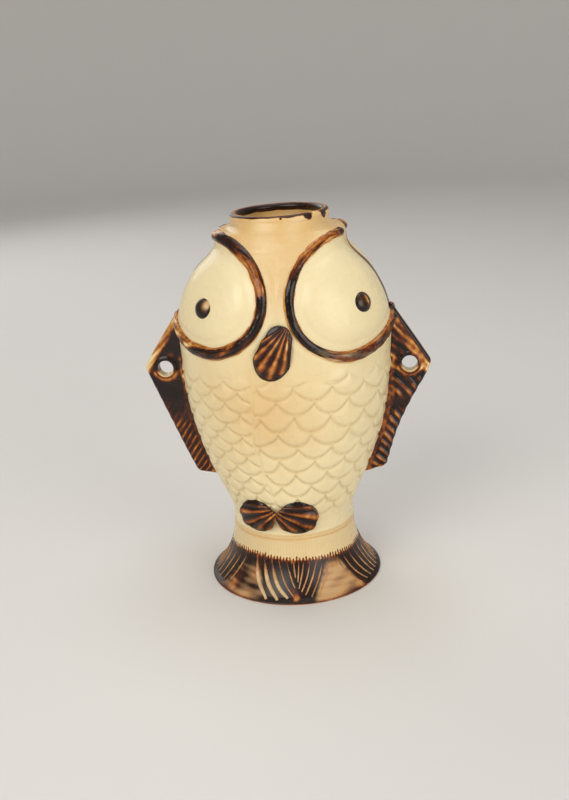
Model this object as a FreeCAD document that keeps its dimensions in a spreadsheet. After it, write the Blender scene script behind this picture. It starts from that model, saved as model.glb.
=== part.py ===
"""Double fish vase: two glazed stoneware fish joined belly to belly, standing on their tails.

The vase is built the way a potter builds it, as separate pieces of clay that are luted together. Two
pressed half shells, one for each fish, meet on an upright seam. A neck collar with a beaded lip closes
the snouts at the top, two tail halves and a base disc make the spreading foot, and the dorsal fins,
gill ridges, eyes, pectoral fins and pelvic fins are applied to the outside.

Frame: millimetres, +Z up, origin at the middle of the foot's underside. The front faces -Y, one fish
lies towards +X (right) and the other towards -X (left). The back repeats the front, turned half round,
so the left fish wears on its back what the right fish wears on its front. An azimuth is measured in
degrees about +Z from the front, 0 at -Y and 90 at +X.
"""

import FreeCAD
import Part
import os

import Sketcher
from FreeCAD import Placement, Rotation, Vector
from math import asin, cos, degrees, radians, sin

doc = FreeCAD.newDocument("double_fish_vase")

# Driving dimensions, in millimetres and degrees
SIZES = {
    # Whole vase
    "vase_height": 280.0,
    "wall": 5.0,
    "overrun": 2.0,
    # Body, from the joint at the waist to the joint at the shoulder
    "waist_radius": 46.0,
    "shoulder_radius": 47.0,
    "belly_half_width": 77.5,
    # Neck collar and its beaded lip
    "collar_radius": 35.0,
    "collar_sweep_height": 11.0,
    "collar_shoulder_round": 6.0,
    "lip_radius": 2.9,
    # Tail foot
    "foot_radius": 65.5,
    "foot_edge_height": 1.2,
    "foot_toe_width": 4.0,
    "foot_toe_height": 3.6,
    # Base disc, and the ledge inside the foot that it is luted to
    "base_ledge": 2.5,
    "base_recess": 3.0,
    "base_thickness": 6.0,
    "base_chamfer": 1.0,
    # Dorsal fins with their cord holes
    "fin_thickness": 8.0,
    "fin_corner_round": 4.5,
    "fin_edge_round": 2.2,
    "eyelet_radius": 5.8,
    "eyelet_lip_width": 2.6,
    "eyelet_lip_height": 0.9,
    # Gill ridges, laid round each head
    "ridge_radius": 4.5,
    # Eyes
    "eye_width": 16.0,
    "eye_length": 15.4,
    "eye_dome": 4.8,
    "right_eye_azimuth": 54.5,
    "left_eye_azimuth": -46.5,
    # Pectoral fins, one on the seam of each face, narrow end upwards
    "pectoral_azimuth": -1.0,
    "pectoral_big_radius": 13.0,
    "pectoral_small_radius": 9.0,
    "pectoral_length": 18.0,
    "pectoral_tilt": 20.0,
    "pectoral_dome": 7.0,
    # Pelvic fins, a pair on each face that meets like a bow
    "pelvic_azimuth": -10.0,
    "pelvic_big_radius": 13.6,
    "pelvic_small_radius": 3.6,
    "pelvic_spread": 15.4,
    "pelvic_rise": 2.0,
    "pelvic_dome": 5.0,
    "pelvic_gap": 0.4,
}

# Heights on the vase, each a share of its own height
HEIGHT_SHARES = {
    "waist_height": 0.1607,
    "shoulder_height": 0.9357,
    "fin_bottom_height": 0.2821,
    "fin_tip_height": 0.5929,
    "fin_top_height": 0.75,
    "eyelet_height": 0.5882,
    "snout_height": 0.9446,
    "right_gill_height": 0.6589,
    "left_gill_height": 0.675,
    "eye_height": 0.7843,
    "pectoral_height": 0.6875,
    "pelvic_height": 0.2207,
}

# How far out the fins' corners and cord holes lie, each a share of the belly's half width
REACH_SHARES = {
    "fin_bottom_reach": 0.929,
    "fin_tip_reach": 1.378,
    "eyelet_reach": 1.1665,
}

# Sizes that follow from the others: the foot's sweep is the radius of the arc from waist to toe
FOLLOWING_SIZES = {
    "foot_spread": "foot_radius - foot_toe_width - waist_radius",
    "foot_drop": "waist_height - foot_toe_height",
    "foot_sweep": "(foot_spread ^ 2 + foot_drop ^ 2) / (2 * foot_spread)",
    "floor_top": "base_recess + base_thickness",
    "floor_drop": "waist_height - floor_top",
    "ledge_inside": "waist_radius + foot_sweep - sqrt((foot_sweep + wall) ^ 2 - floor_drop ^ 2)",
    "ring_inside": "ledge_inside + base_ledge",
}

# Sections of a fish between waist and shoulder: share of that height, and lobe share, which is how far
# the section's centre lies from the seam as a share of its half width
# The half width swells from the end's radius to the belly's by the swell share
LOWER_SECTION_SHARES = [
    (0.0, 0.0, 0.0),
    (0.041, -0.019, 0.0),
    (0.097, 0.07, 0.025),
    (0.18, 0.324, 0.08),
    (0.281, 0.587, 0.115),
    (0.41, 0.825, 0.12),
    (0.539, 0.94, 0.145),
    (0.668, 1.0, 0.195),
]
UPPER_SECTION_SHARES = [
    (0.76, 0.967, 0.2),
    (0.843, 0.741, 0.17),
    (0.912, 0.393, 0.115),
    (0.954, 0.098, 0.04),
    (1.0, 0.0, 0.0),
]

# A gill ridge, from the snout round the cheek to the dorsal fin: share of a quarter turn from the front,
# and share of the height from the gill's lowest point to the snout
GILL_SHARES = [
    (0.8, 1.0), (0.66, 0.995), (0.5, 0.965), (0.28, 0.855), (0.14, 0.68), (0.1, 0.465),
    (0.145, 0.255), (0.265, 0.09), (0.435, 0.005), (0.63, 0.03), (0.82, 0.12), (1.08, 0.26),
]

# How far the dome of an applied fin reaches beyond its outline, so that its edge keeps some thickness
DOME_SPREAD_SHARE = 1.15

cells = {alias: str(number) for alias, number in SIZES.items()}
cells |= {alias: f"=vase_height * {share}" for alias, share in HEIGHT_SHARES.items()}
cells |= {alias: f"=belly_half_width * {share}" for alias, share in REACH_SHARES.items()}
cells |= {alias: f"={expression}" for alias, expression in FOLLOWING_SIZES.items()}
sheet = doc.addObject("Spreadsheet::Sheet", "Sizes")
for row, (alias, content) in enumerate(cells.items(), start=1):
    sheet.set(f"A{row}", alias)
    sheet.set(f"B{row}", content)
    sheet.setAlias(f"B{row}", alias)
doc.recompute()


def worth(expression):
    """Return what an expression of the sheet's sizes comes to now."""
    return float(sheet.evalExpression(expression))


def bind(thing, links):
    """Bind properties of an object to expressions of the sheet's sizes."""
    for path, expression in links.items():
        thing.setExpression(path, expression)
    return thing


def boolean(kind, label, base, tool):
    """Cut a tool from a base, or keep what they have in common."""
    result = doc.addObject(f"Part::{kind}", label)
    result.Base = base
    result.Tool = tool
    return result


def fuse(label, pieces):
    """Join construction solids into one tool."""
    result = doc.addObject("Part::MultiFuse", label)
    result.Shapes = pieces
    return result


# Sketches

def new_sketch(body, name, plane, offset="0"):
    """Lay a sketch on one of a body's own origin planes, lifted off it by an offset."""
    sketch = body.newObject("Sketcher::SketchObject", name)
    support = [feature for feature in body.Origin.OriginFeatures if feature.Role == plane]
    sketch.AttachmentSupport = [(support[0], "")]
    sketch.MapMode = "FlatFace"
    if offset != "0":
        bind(sketch, {"AttachmentOffset.Base.z": offset})
    return sketch


def hold(sketch, geometry, position, across=None, up=None):
    """Hold a point of a sketch at expressions measured from the sketch's origin."""
    for kind, expression in (("DistanceX", across), ("DistanceY", up)):
        if expression is not None:
            limit = Sketcher.Constraint(kind, -1, 1, geometry, position, worth(expression))
            number = sketch.addConstraint(limit)
            sketch.setExpression(f"Constraints[{number}]", expression)


def add_line(sketch, start, end):
    """Draw a line between two places."""
    return sketch.addGeometry(Part.LineSegment(start, end), False)


def add_arc(sketch, centre, start, end):
    """Draw an arc anticlockwise about a centre, from start to end."""
    circle = Part.Circle(centre, Vector(0, 0, 1), (start - centre).Length)
    arc = Part.ArcOfCircle(circle, circle.parameter(start), circle.parameter(end))
    return sketch.addGeometry(arc, False)


def add_circle(sketch, across, up, radius):
    """Draw a circle whose centre and radius are expressions."""
    centre = Vector(worth(across), worth(up), 0)
    geometry = sketch.addGeometry(Part.Circle(centre, Vector(0, 0, 1), worth(radius)), False)
    hold(sketch, geometry, 3, across, up)
    limit = sketch.addConstraint(Sketcher.Constraint("Radius", geometry, worth(radius)))
    sketch.setExpression(f"Constraints[{limit}]", radius)
    return geometry


def join(sketch, ends):
    """Join pairs of curve ends, each given as curve, end, curve, end."""
    for first, first_end, second, second_end in ends:
        sketch.addConstraint(Sketcher.Constraint("Coincident", first, first_end, second, second_end))


def add_polygon(sketch, corners):
    """Draw a closed outline of straight sides through corners that are pairs of expressions."""
    places = [Vector(worth(across), worth(up), 0) for across, up in corners]
    pairs = zip(places, places[1:] + places[:1])
    sides = [add_line(sketch, place, following) for place, following in pairs]
    for side, following, (across, up) in zip(sides, sides[1:] + sides[:1], corners[1:] + corners[:1]):
        join(sketch, [(side, 2, following, 1)])
        hold(sketch, following, 1, across, up)


def add_teardrop(sketch, big, small, big_radius, small_radius):
    """Draw two arcs, a big and a small one, and the straight sides that touch both.

    big and small are the arcs' centres, as pairs of expressions.
    """
    centres = [Vector(worth(across), worth(up), 0) for across, up in (big, small)]
    reaches = [worth(big_radius), worth(small_radius)]
    axis = centres[1] - centres[0]
    along = axis.normalize() if axis.Length else Vector(1, 0, 0)
    spacing = (centres[1] - centres[0]).Length
    lean = (reaches[0] - reaches[1]) / spacing
    across_share = (1 - lean ** 2) ** 0.5
    normal = Vector(-along.y, along.x, 0)
    sides = {}
    for side in (1, -1):
        outward = along * lean + normal * (across_share * side)
        sides[side] = [centre + outward * reach for centre, reach in zip(centres, reaches)]
    big_arc = add_arc(sketch, centres[0], sides[1][0], sides[-1][0])
    lower = add_line(sketch, sides[-1][0], sides[-1][1])
    small_arc = add_arc(sketch, centres[1], sides[-1][1], sides[1][1])
    upper = add_line(sketch, sides[1][1], sides[1][0])
    chain = [big_arc, lower, small_arc, upper]
    for curve, following in zip(chain, chain[1:] + chain[:1]):
        sketch.addConstraint(Sketcher.Constraint("Tangent", curve, 2, following, 1))
    for arc, (across, up), radius in ((big_arc, big, big_radius), (small_arc, small, small_radius)):
        hold(sketch, arc, 3, across, up)
        limit = sketch.addConstraint(Sketcher.Constraint("Radius", arc, worth(radius)))
        sketch.setExpression(f"Constraints[{limit}]", radius)


def edges_where(feature, test):
    """Name the edges of a feature that pass a test."""
    return [f"Edge{number}" for number, edge in enumerate(feature.Shape.Edges, start=1) if test(edge)]


# Fish bodies

def section(name, side, height_share, end_radius, swell_share, lobe_share, growth):
    """Make one level section of a fish: a circle whose centre is off the seam by the lobe share."""
    half_width = f"({end_radius} + {swell_share} * (Sizes.belly_half_width - {end_radius}))"
    rise = "Sizes.shoulder_height - Sizes.waist_height"
    circle = doc.addObject("Part::Circle", name)
    # The circle starts on the far side of the seam, so that the loft's own seam is cut away
    circle.Placement = Placement(Vector(), Rotation(Vector(0, 0, 1), 180 if side > 0 else 0))
    return bind(circle, {
        "Radius": f"{half_width} * {1 - lobe_share} {growth}",
        "Placement.Base.x": f"{side * lobe_share} * {half_width}",
        "Placement.Base.z": f"Sizes.waist_height + {height_share} * ({rise})",
    })


def fish_loft(name, side, growth):
    """Loft one fish from its level sections, grown or shrunk all round by an expression."""
    sections = []
    for end_radius, shares in (
        ("Sizes.waist_radius", LOWER_SECTION_SHARES),
        ("Sizes.shoulder_radius", UPPER_SECTION_SHARES),
    ):
        for height_share, swell_share, lobe_share in shares:
            label = f"{name}_section_{len(sections)}"
            sections.append(section(label, side, height_share, end_radius, swell_share, lobe_share, growth))
    loft = doc.addObject("Part::Loft", name)
    loft.Sections = sections
    loft.Solid = True
    return loft


def half_space(name, across_start, along_start):
    """Make a block as large as the vase that starts at the given corner."""
    return bind(doc.addObject("Part::Box", name), {
        "Length": "4 * Sizes.vase_height",
        "Width": "4 * Sizes.vase_height",
        "Height": "2 * Sizes.vase_height",
        "Placement.Base.x": across_start,
        "Placement.Base.y": along_start,
        "Placement.Base.z": "-0.5 * Sizes.vase_height",
    })


CENTRED = "-2 * Sizes.vase_height"
BEYOND = "-4 * Sizes.vase_height"
sides = {"right": 1, "left": -1}
side_blocks = {
    "right": half_space("right_side", "0", CENTRED),
    "left": half_space("left_side", BEYOND, CENTRED),
}
face_blocks = {
    "front": half_space("front_side", CENTRED, BEYOND),
    "back": half_space("back_side", CENTRED, "0"),
}

solid_fish = {}
shells = {}
for name, side in sides.items():
    outside = fish_loft(f"{name}_outside", side, "")
    solid_fish[name] = boolean("Common", f"{name}_solid_fish", outside, side_blocks[name])
    inside = fish_loft(f"{name}_inside", side, "- Sizes.wall")
    shells[name] = boolean("Cut", f"{name}_fish_shell", solid_fish[name], inside)


# Neck collar

def neck_collar():
    """Turn the collar: it rises from the shoulder in an S and ends in a beaded lip."""
    body = doc.addObject("PartDesign::Body", "neck_collar")
    sketch = new_sketch(body, "collar_profile", "XZ_Plane")
    bead_across = "Sizes.collar_radius - Sizes.wall / 2"
    bead_up = "Sizes.vase_height - Sizes.lip_radius"
    sweep_up = "Sizes.shoulder_height + Sizes.collar_sweep_height"
    drop = (worth("Sizes.lip_radius") ** 2 - (worth("Sizes.wall") / 2) ** 2) ** 0.5
    neck = worth("Sizes.collar_radius")
    wall = worth("Sizes.wall")
    shoulder = Vector(worth("Sizes.shoulder_radius"), worth("Sizes.shoulder_height"), 0)
    turn = Vector(neck, worth(sweep_up), 0)
    across = shoulder.x - turn.x
    rise = turn.y - shoulder.y
    both_rounds = (across ** 2 + rise ** 2) / (2 * across)
    outer_round = worth("Sizes.collar_shoulder_round")
    low_centre = Vector(shoulder.x - outer_round, shoulder.y, 0)
    high_centre = Vector(turn.x + both_rounds - outer_round, turn.y, 0)
    way = (high_centre - low_centre).normalize()
    bead_centre = Vector(worth(bead_across), worth(bead_up), 0)
    bead_right = Vector(neck, bead_centre.y - drop, 0)
    inward = Vector(-wall, 0, 0)
    outer_middle = low_centre + way * outer_round
    inner_middle = low_centre + way * (outer_round - wall)

    floor = add_line(sketch, shoulder + inward, shoulder)
    outer_low = add_arc(sketch, low_centre, shoulder, outer_middle)
    outer_high = add_arc(sketch, high_centre, turn, outer_middle)
    outer_neck = add_line(sketch, turn, bead_right)
    bead = add_arc(sketch, bead_centre, bead_right, bead_right + inward)
    inner_neck = add_line(sketch, bead_right + inward, turn + inward)
    inner_high = add_arc(sketch, high_centre, turn + inward, inner_middle)
    inner_low = add_arc(sketch, low_centre, shoulder + inward, inner_middle)
    join(sketch, [
        (floor, 2, outer_low, 1), (outer_high, 1, outer_neck, 1), (outer_neck, 2, bead, 1),
        (bead, 2, inner_neck, 1), (inner_neck, 2, inner_high, 1), (inner_low, 1, floor, 1),
        (inner_low, 3, outer_low, 3), (inner_high, 3, outer_high, 3),
    ])
    sketch.addConstraint(Sketcher.Constraint("Tangent", outer_low, 2, outer_high, 2))
    sketch.addConstraint(Sketcher.Constraint("Tangent", inner_low, 2, inner_high, 2))
    hold(sketch, floor, 1, "Sizes.shoulder_radius - Sizes.wall", "Sizes.shoulder_height")
    hold(sketch, floor, 2, "Sizes.shoulder_radius", "Sizes.shoulder_height")
    round_middle = "Sizes.shoulder_radius - Sizes.collar_shoulder_round"
    hold(sketch, outer_low, 3, round_middle, "Sizes.shoulder_height")
    hold(sketch, outer_high, 3, up=sweep_up)
    hold(sketch, outer_neck, 1, "Sizes.collar_radius", sweep_up)
    hold(sketch, outer_neck, 2, across="Sizes.collar_radius")
    hold(sketch, inner_neck, 1, across="Sizes.collar_radius - Sizes.wall")
    hold(sketch, inner_neck, 2, up=sweep_up)
    hold(sketch, bead, 3, bead_across, bead_up)
    limit = sketch.addConstraint(Sketcher.Constraint("Radius", bead, worth("Sizes.lip_radius")))
    sketch.setExpression(f"Constraints[{limit}]", "Sizes.lip_radius")
    turned = body.newObject("PartDesign::Revolution", "collar_turning")
    turned.Profile = sketch
    turned.ReferenceAxis = (sketch, ["V_Axis"])
    turned.Angle = 360
    return body


collar = neck_collar()


# Tail foot and base disc

def tail_foot(label, turn):
    """Turn one fish's half of the spreading foot, with a ledge inside for the base disc."""
    body = doc.addObject("PartDesign::Body", label)
    sketch = new_sketch(body, f"{label}_profile", "XZ_Plane")
    wall = worth("Sizes.wall")
    waist = Vector(worth("Sizes.waist_radius"), worth("Sizes.waist_height"), 0)
    toe = waist + Vector(worth("Sizes.foot_spread"), -worth("Sizes.foot_drop"), 0)
    centre = waist + Vector(worth("Sizes.foot_sweep"), 0, 0)
    ledge = Vector(worth("Sizes.ledge_inside"), worth("Sizes.floor_top"), 0)
    edge = Vector(worth("Sizes.foot_radius"), worth("Sizes.foot_edge_height"), 0)
    ring = Vector(worth("Sizes.ring_inside"), 0, 0)

    outer = add_arc(sketch, centre, waist, toe)
    flare = add_line(sketch, toe, edge)
    rim = add_line(sketch, edge, Vector(edge.x, 0, 0))
    tread = add_line(sketch, Vector(edge.x, 0, 0), ring)
    bore = add_line(sketch, ring, Vector(ring.x, ledge.y, 0))
    step = add_line(sketch, Vector(ring.x, ledge.y, 0), ledge)
    inner = add_arc(sketch, centre, waist - Vector(wall, 0, 0), ledge)
    joint = add_line(sketch, waist - Vector(wall, 0, 0), waist)
    join(sketch, [
        (outer, 2, flare, 1), (flare, 2, rim, 1), (rim, 2, tread, 1), (tread, 2, bore, 1),
        (bore, 2, step, 1), (step, 2, inner, 2), (inner, 1, joint, 1), (joint, 2, outer, 1),
        (inner, 3, outer, 3),
    ])
    hold(sketch, joint, 1, "Sizes.waist_radius - Sizes.wall", "Sizes.waist_height")
    hold(sketch, joint, 2, "Sizes.waist_radius", "Sizes.waist_height")
    hold(sketch, outer, 3, up="Sizes.waist_height")
    hold(sketch, flare, 1, "Sizes.waist_radius + Sizes.foot_spread", "Sizes.foot_toe_height")
    hold(sketch, rim, 1, "Sizes.foot_radius", "Sizes.foot_edge_height")
    hold(sketch, tread, 1, "Sizes.foot_radius", "0")
    hold(sketch, bore, 1, "Sizes.ring_inside", "0")
    hold(sketch, step, 1, "Sizes.ring_inside", "Sizes.floor_top")
    hold(sketch, step, 2, up="Sizes.floor_top")
    turned = body.newObject("PartDesign::Revolution", f"{label}_turning")
    turned.Profile = sketch
    turned.ReferenceAxis = (sketch, ["V_Axis"])
    turned.Angle = 180
    turned.Midplane = True
    body.Placement = Placement(Vector(), Rotation(Vector(0, 0, 1), turn))
    return body


def base_disc():
    """Press the disc that closes the foot, chamfered round its underside."""
    body = doc.addObject("PartDesign::Body", "base_disc")
    sketch = new_sketch(body, "disc_outline", "XY_Plane", "Sizes.base_recess")
    add_circle(sketch, "0", "0", "Sizes.ring_inside")
    pad = bind(body.newObject("PartDesign::Pad", "disc"), {"Length": "Sizes.base_thickness"})
    pad.Profile = sketch
    doc.recompute()
    middle = worth("Sizes.base_recess + Sizes.base_thickness / 2")
    chamfer = body.newObject("PartDesign::Chamfer", "underside_chamfer")
    chamfer.Base = (pad, edges_where(pad, lambda edge: edge.BoundBox.ZMax < middle))
    bind(chamfer, {"Size": "Sizes.base_chamfer"})
    return body


pieces = [*shells.values(), collar]
pieces += [tail_foot("right_tail_foot", 0), tail_foot("left_tail_foot", 180), base_disc()]


# Dorsal fins

def fin_plate(name, turn):
    """Cut one fin from a slab: tip and corners rounded, cord hole with a raised lip, edges softened."""
    body = doc.addObject("PartDesign::Body", f"{name}_fin_plate")
    outline = new_sketch(body, f"{name}_fin_outline", "XZ_Plane")
    root = "Sizes.waist_radius / 2"
    add_polygon(outline, [
        (root, "Sizes.fin_bottom_height"),
        ("Sizes.fin_bottom_reach", "Sizes.fin_bottom_height"),
        ("Sizes.fin_tip_reach", "Sizes.fin_tip_height"),
        ("Sizes.belly_half_width", "Sizes.fin_top_height"),
        (root, "Sizes.fin_top_height"),
    ])
    slab = bind(body.newObject("PartDesign::Pad", f"{name}_fin_slab"), {"Length": "Sizes.fin_thickness"})
    slab.Profile = outline
    slab.SideType = "Symmetric"
    doc.recompute()

    def reaches_out(edge):
        return max(vertex.X for vertex in edge.Vertexes) > worth("Sizes.waist_radius")

    def is_corner(edge):
        ends = [vertex.Point for vertex in edge.Vertexes]
        return reaches_out(edge) and abs(ends[0].y - ends[1].y) > slab.Length.Value / 2

    corners = body.newObject("PartDesign::Fillet", f"{name}_fin_corners")
    corners.Base = (slab, edges_where(slab, is_corner))
    bind(corners, {"Radius": "Sizes.fin_corner_round"})
    doc.recompute()

    def is_face_edge(edge):
        return reaches_out(edge) and abs(edge.CenterOfMass.y) > slab.Length.Value / 4

    soft = body.newObject("PartDesign::Fillet", f"{name}_fin_edges")
    soft.Base = (corners, edges_where(corners, is_face_edge))
    bind(soft, {"Radius": "Sizes.fin_edge_round"})
    lip = new_sketch(body, f"{name}_eyelet_lip_outline", "XZ_Plane")
    place = ("Sizes.eyelet_reach", "Sizes.eyelet_height")
    add_circle(lip, *place, "Sizes.eyelet_radius + Sizes.eyelet_lip_width")
    ring = body.newObject("PartDesign::Pad", f"{name}_eyelet_lip")
    ring.Profile = lip
    ring.SideType = "Symmetric"
    bind(ring, {"Length": "Sizes.fin_thickness + 2 * Sizes.eyelet_lip_height"})
    hole = new_sketch(body, f"{name}_eyelet_outline", "XZ_Plane")
    add_circle(hole, *place, "Sizes.eyelet_radius")
    eyelet = body.newObject("PartDesign::Pocket", f"{name}_eyelet")
    eyelet.Profile = hole
    eyelet.SideType = "Symmetric"
    bind(eyelet, {"Length": "Sizes.fin_thickness + 2 * Sizes.eyelet_lip_height + 2 * Sizes.overrun"})
    body.Placement = Placement(Vector(), Rotation(Vector(0, 0, 1), turn))
    doc.recompute()
    if not eyelet.Shape.Volume < ring.Shape.Volume:
        raise RuntimeError(f"the {name} eyelet cuts nothing")
    return body


fin_plates = {name: fin_plate(name, 0 if side > 0 else 180) for name, side in sides.items()}
solid_body = fuse("solid_body", [solid_fish["right"], solid_fish["left"]])
for name, plate in fin_plates.items():
    pieces.append(boolean("Cut", f"{name}_dorsal_fin", plate, solid_body))


# Pieces seated on the heads and the belly

collar_plug = bind(doc.addObject("Part::Cone", "collar_plug"), {
    "Radius1": "Sizes.shoulder_radius - Sizes.wall / 2",
    "Radius2": "Sizes.collar_radius - Sizes.wall / 2",
    "Height": "Sizes.collar_sweep_height",
    "Placement.Base.z": "Sizes.shoulder_height",
})
skin = fuse("solid_vase", [solid_fish["right"], solid_fish["left"], collar, collar_plug])
fin_flanks = bind(doc.addObject("Part::Box", "fin_flanks"), {
    "Length": "2 * Sizes.vase_height",
    "Width": "Sizes.fin_thickness",
    "Height": "Sizes.fin_top_height + 2 * Sizes.ridge_radius",
    "Placement.Base.x": "-Sizes.vase_height",
    "Placement.Base.y": "-Sizes.fin_thickness / 2",
})
core = fuse("seat_for_ridges", [skin, fin_flanks])
doc.recompute()


def seat(azimuth, height):
    """Find the place on the outside of the vase at an azimuth and a height."""
    level = Vector(0, 0, height)
    outward = Vector(sin(radians(azimuth)), -cos(radians(azimuth)), 0)
    probe = Part.makeLine(level, level + outward * worth("Sizes.vase_height"))
    crossed = skin.Shape.common(probe)
    places = [vertex.Point for vertex in crossed.Vertexes]
    return max(places, key=lambda place: (place - level).Length)


def facing(azimuth, height):
    """Find how to turn a piece so that its Z axis points straight out of the vase's side there."""
    reach = worth("Sizes.wall")
    sweep = degrees(reach / worth("Sizes.belly_half_width"))
    beside = seat(azimuth + sweep, height) - seat(azimuth - sweep, height)
    upward = seat(azimuth, height + reach) - seat(azimuth, height - reach)
    return Rotation(beside, upward, beside.cross(upward), "ZYX")


def gill_ridge(label, side, low, turn):
    """Lay a coil of clay along a gill line, from the snout to the dorsal fin, and trim it to its seat."""
    rise = worth(f"Sizes.snout_height - {low}")
    line = [seat(side * 90 * azimuth + turn, worth(low) + share * rise) for azimuth, share in GILL_SHARES]
    curve = Part.BSplineCurve()
    curve.interpolate(line)
    spine = doc.addObject("Part::Feature", f"{label}_line")
    spine.Shape = Part.Wire([curve.toShape()])
    coil_end = bind(doc.addObject("Part::Circle", f"{label}_end"), {"Radius": "Sizes.ridge_radius"})
    start = curve.tangent(curve.FirstParameter)[0]
    coil_end.Placement = Placement(line[0], Rotation(Vector(0, 0, 1), start))
    coil = doc.addObject("Part::Sweep", f"{label}_coil")
    coil.Sections = [coil_end]
    coil.Spine = (spine, ["Edge1"])
    coil.Solid = True
    coil.Frenet = False
    half = boolean("Common", f"{label}_half", coil, face_blocks["back" if turn else "front"])
    return half, boolean("Cut", label, half, core)


def dome(name, azimuth, height, tilt, sizes):
    """Seat a flattened dome on the vase's side: half its width, half its length and its height."""
    across, along, rise = sizes
    mound = doc.addObject("Part::Ellipsoid", name)
    bind(mound, {"Radius1": rise, "Radius2": across, "Radius3": along})
    lean = Rotation(Vector(0, 0, 1), -tilt)
    mound.Placement = Placement(seat(azimuth, height), facing(azimuth, height) * lean)
    return mound


def eye(label, azimuth, turn):
    """Press a button eye on to a cheek."""
    sizes = ("Sizes.eye_width / 2", "Sizes.eye_length / 2", "Sizes.eye_dome")
    button = dome(f"{label}_button", worth(azimuth) + turn, worth("Sizes.eye_height"), 0, sizes)
    return boolean("Cut", label, button, solid_body)


def applied_fin(label, big, small, radii, bearing, mound):
    """Cut a domed fin to its drop-shaped outline and to the side that it lies on."""
    body = doc.addObject("PartDesign::Body", f"{label}_cutter")
    sketch = new_sketch(body, f"{label}_outline", "XZ_Plane")
    add_teardrop(sketch, big, small, *radii)
    pad = bind(body.newObject("PartDesign::Pad", f"{label}_drop"), {"Length": "Sizes.vase_height"})
    pad.Profile = sketch
    body.Placement = Placement(Vector(), Rotation(Vector(0, 0, 1), bearing))
    seated = boolean("Cut", f"{label}_seated_mound", mound, solid_body)
    return boolean("Common", label, seated, body)


def pectoral_fin(label, turn, ridges):
    """Lay the fin that covers the seam under the gills, its narrow end up between the ridges."""
    across = "Sizes.pectoral_length / 2 * sin(Sizes.pectoral_tilt)"
    up = "Sizes.pectoral_length / 2 * cos(Sizes.pectoral_tilt)"
    bearing = worth("Sizes.pectoral_azimuth") + turn
    ends = "Sizes.pectoral_big_radius + Sizes.pectoral_small_radius"
    sizes = (
        f"Sizes.pectoral_big_radius * {DOME_SPREAD_SHARE}",
        f"(Sizes.pectoral_length + {ends}) / 2 * {DOME_SPREAD_SHARE}",
        "Sizes.pectoral_dome",
    )
    height = worth("Sizes.pectoral_height")
    mound = dome(f"{label}_mound", bearing, height, worth("Sizes.pectoral_tilt"), sizes)
    laid = applied_fin(
        f"{label}_laid", (f"-({across})", f"Sizes.pectoral_height - {up}"),
        (across, f"Sizes.pectoral_height + {up}"),
        ("Sizes.pectoral_big_radius", "Sizes.pectoral_small_radius"), bearing, mound,
    )
    return boolean("Cut", label, laid, fuse(f"{label}_neighbours", ridges))


def pelvic_fin(label, side, turn):
    """Lay one half of the bow over the tails, its narrow end at the knot."""
    bearing = worth("Sizes.pelvic_azimuth") + turn
    knot = seat(bearing, worth("Sizes.pelvic_height"))
    round_off = degrees(asin(worth("Sizes.pelvic_spread") / Vector(knot.x, knot.y, 0).Length))
    sizes = (
        f"Sizes.pelvic_big_radius * {DOME_SPREAD_SHARE} * {DOME_SPREAD_SHARE}",
        f"Sizes.pelvic_big_radius * {DOME_SPREAD_SHARE}",
        "Sizes.pelvic_dome",
    )
    height = worth("Sizes.pelvic_height")
    mound = dome(f"{label}_mound", bearing + side * round_off, height, 0, sizes)
    tip = f"{side} * (Sizes.pelvic_small_radius + Sizes.pelvic_gap / 2)"
    return applied_fin(
        label, (f"{side} * Sizes.pelvic_spread", "Sizes.pelvic_height"),
        (tip, "Sizes.pelvic_height + Sizes.pelvic_rise"),
        ("Sizes.pelvic_big_radius", "Sizes.pelvic_small_radius"), bearing, mound,
    )


for face, turn in {"front": 0, "back": 180}.items():
    right, left = ("left", "right") if turn else ("right", "left")
    right_coil, right_ridge = gill_ridge(f"{right}_{face}_gill_ridge", 1, "Sizes.right_gill_height", turn)
    left_coil, left_ridge = gill_ridge(f"{left}_{face}_gill_ridge", -1, "Sizes.left_gill_height", turn)
    pieces += [
        right_ridge,
        left_ridge,
        eye(f"{right}_{face}_eye", "Sizes.right_eye_azimuth", turn),
        eye(f"{left}_{face}_eye", "Sizes.left_eye_azimuth", turn),
        pectoral_fin(f"{face}_pectoral_fin", turn, [right_coil, left_coil]),
        pelvic_fin(f"{right}_{face}_pelvic_fin", 1, turn),
        pelvic_fin(f"{left}_{face}_pelvic_fin", -1, turn),
    ]


def check_document():
    """Stop at any object that failed, and at any sketch that isn't fully held."""
    for thing in doc.Objects:
        if "Invalid" in thing.State or "Error" in thing.State:
            raise RuntimeError(f"{thing.Label} failed: {thing.State}")
        if thing.TypeId == "Sketcher::SketchObject" and not thing.FullyConstrained:
            raise RuntimeError(f"{thing.Label} isn't held")


def write_parts():
    """Check each piece's solid and write it under the piece's name."""
    os.makedirs("parts", exist_ok=True)
    for piece in pieces:
        shape = piece.Shape
        if shape.isNull() or not shape.isValid() or len(shape.Solids) != 1:
            raise RuntimeError(f"{piece.Label} has no sound solid")
        shape.exportStep(f"parts/{piece.Label}.step")
        print(piece.Label, round(shape.Volume, 1))


doc.recompute()
check_document()
write_parts()
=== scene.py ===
"""Double fish vase: the fired and glazed looks of the vase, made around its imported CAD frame.

Two stoneware fish stand belly to belly on their tails. Their bodies are cream glazed over pressed
scales, and the fins, gill ridges, eyes, tails and lip are brushed with a thick treacle glaze that
breaks to amber on every edge.

Lengths inside the making functions are millimetres, and meshes are in metres in the frame's axes:
+Z up, the front facing -Y, one fish towards +X and the other towards -X. An azimuth is measured in
degrees about +Z from the front, with 90 at +X. The back repeats the front, turned half round.
"""

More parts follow.
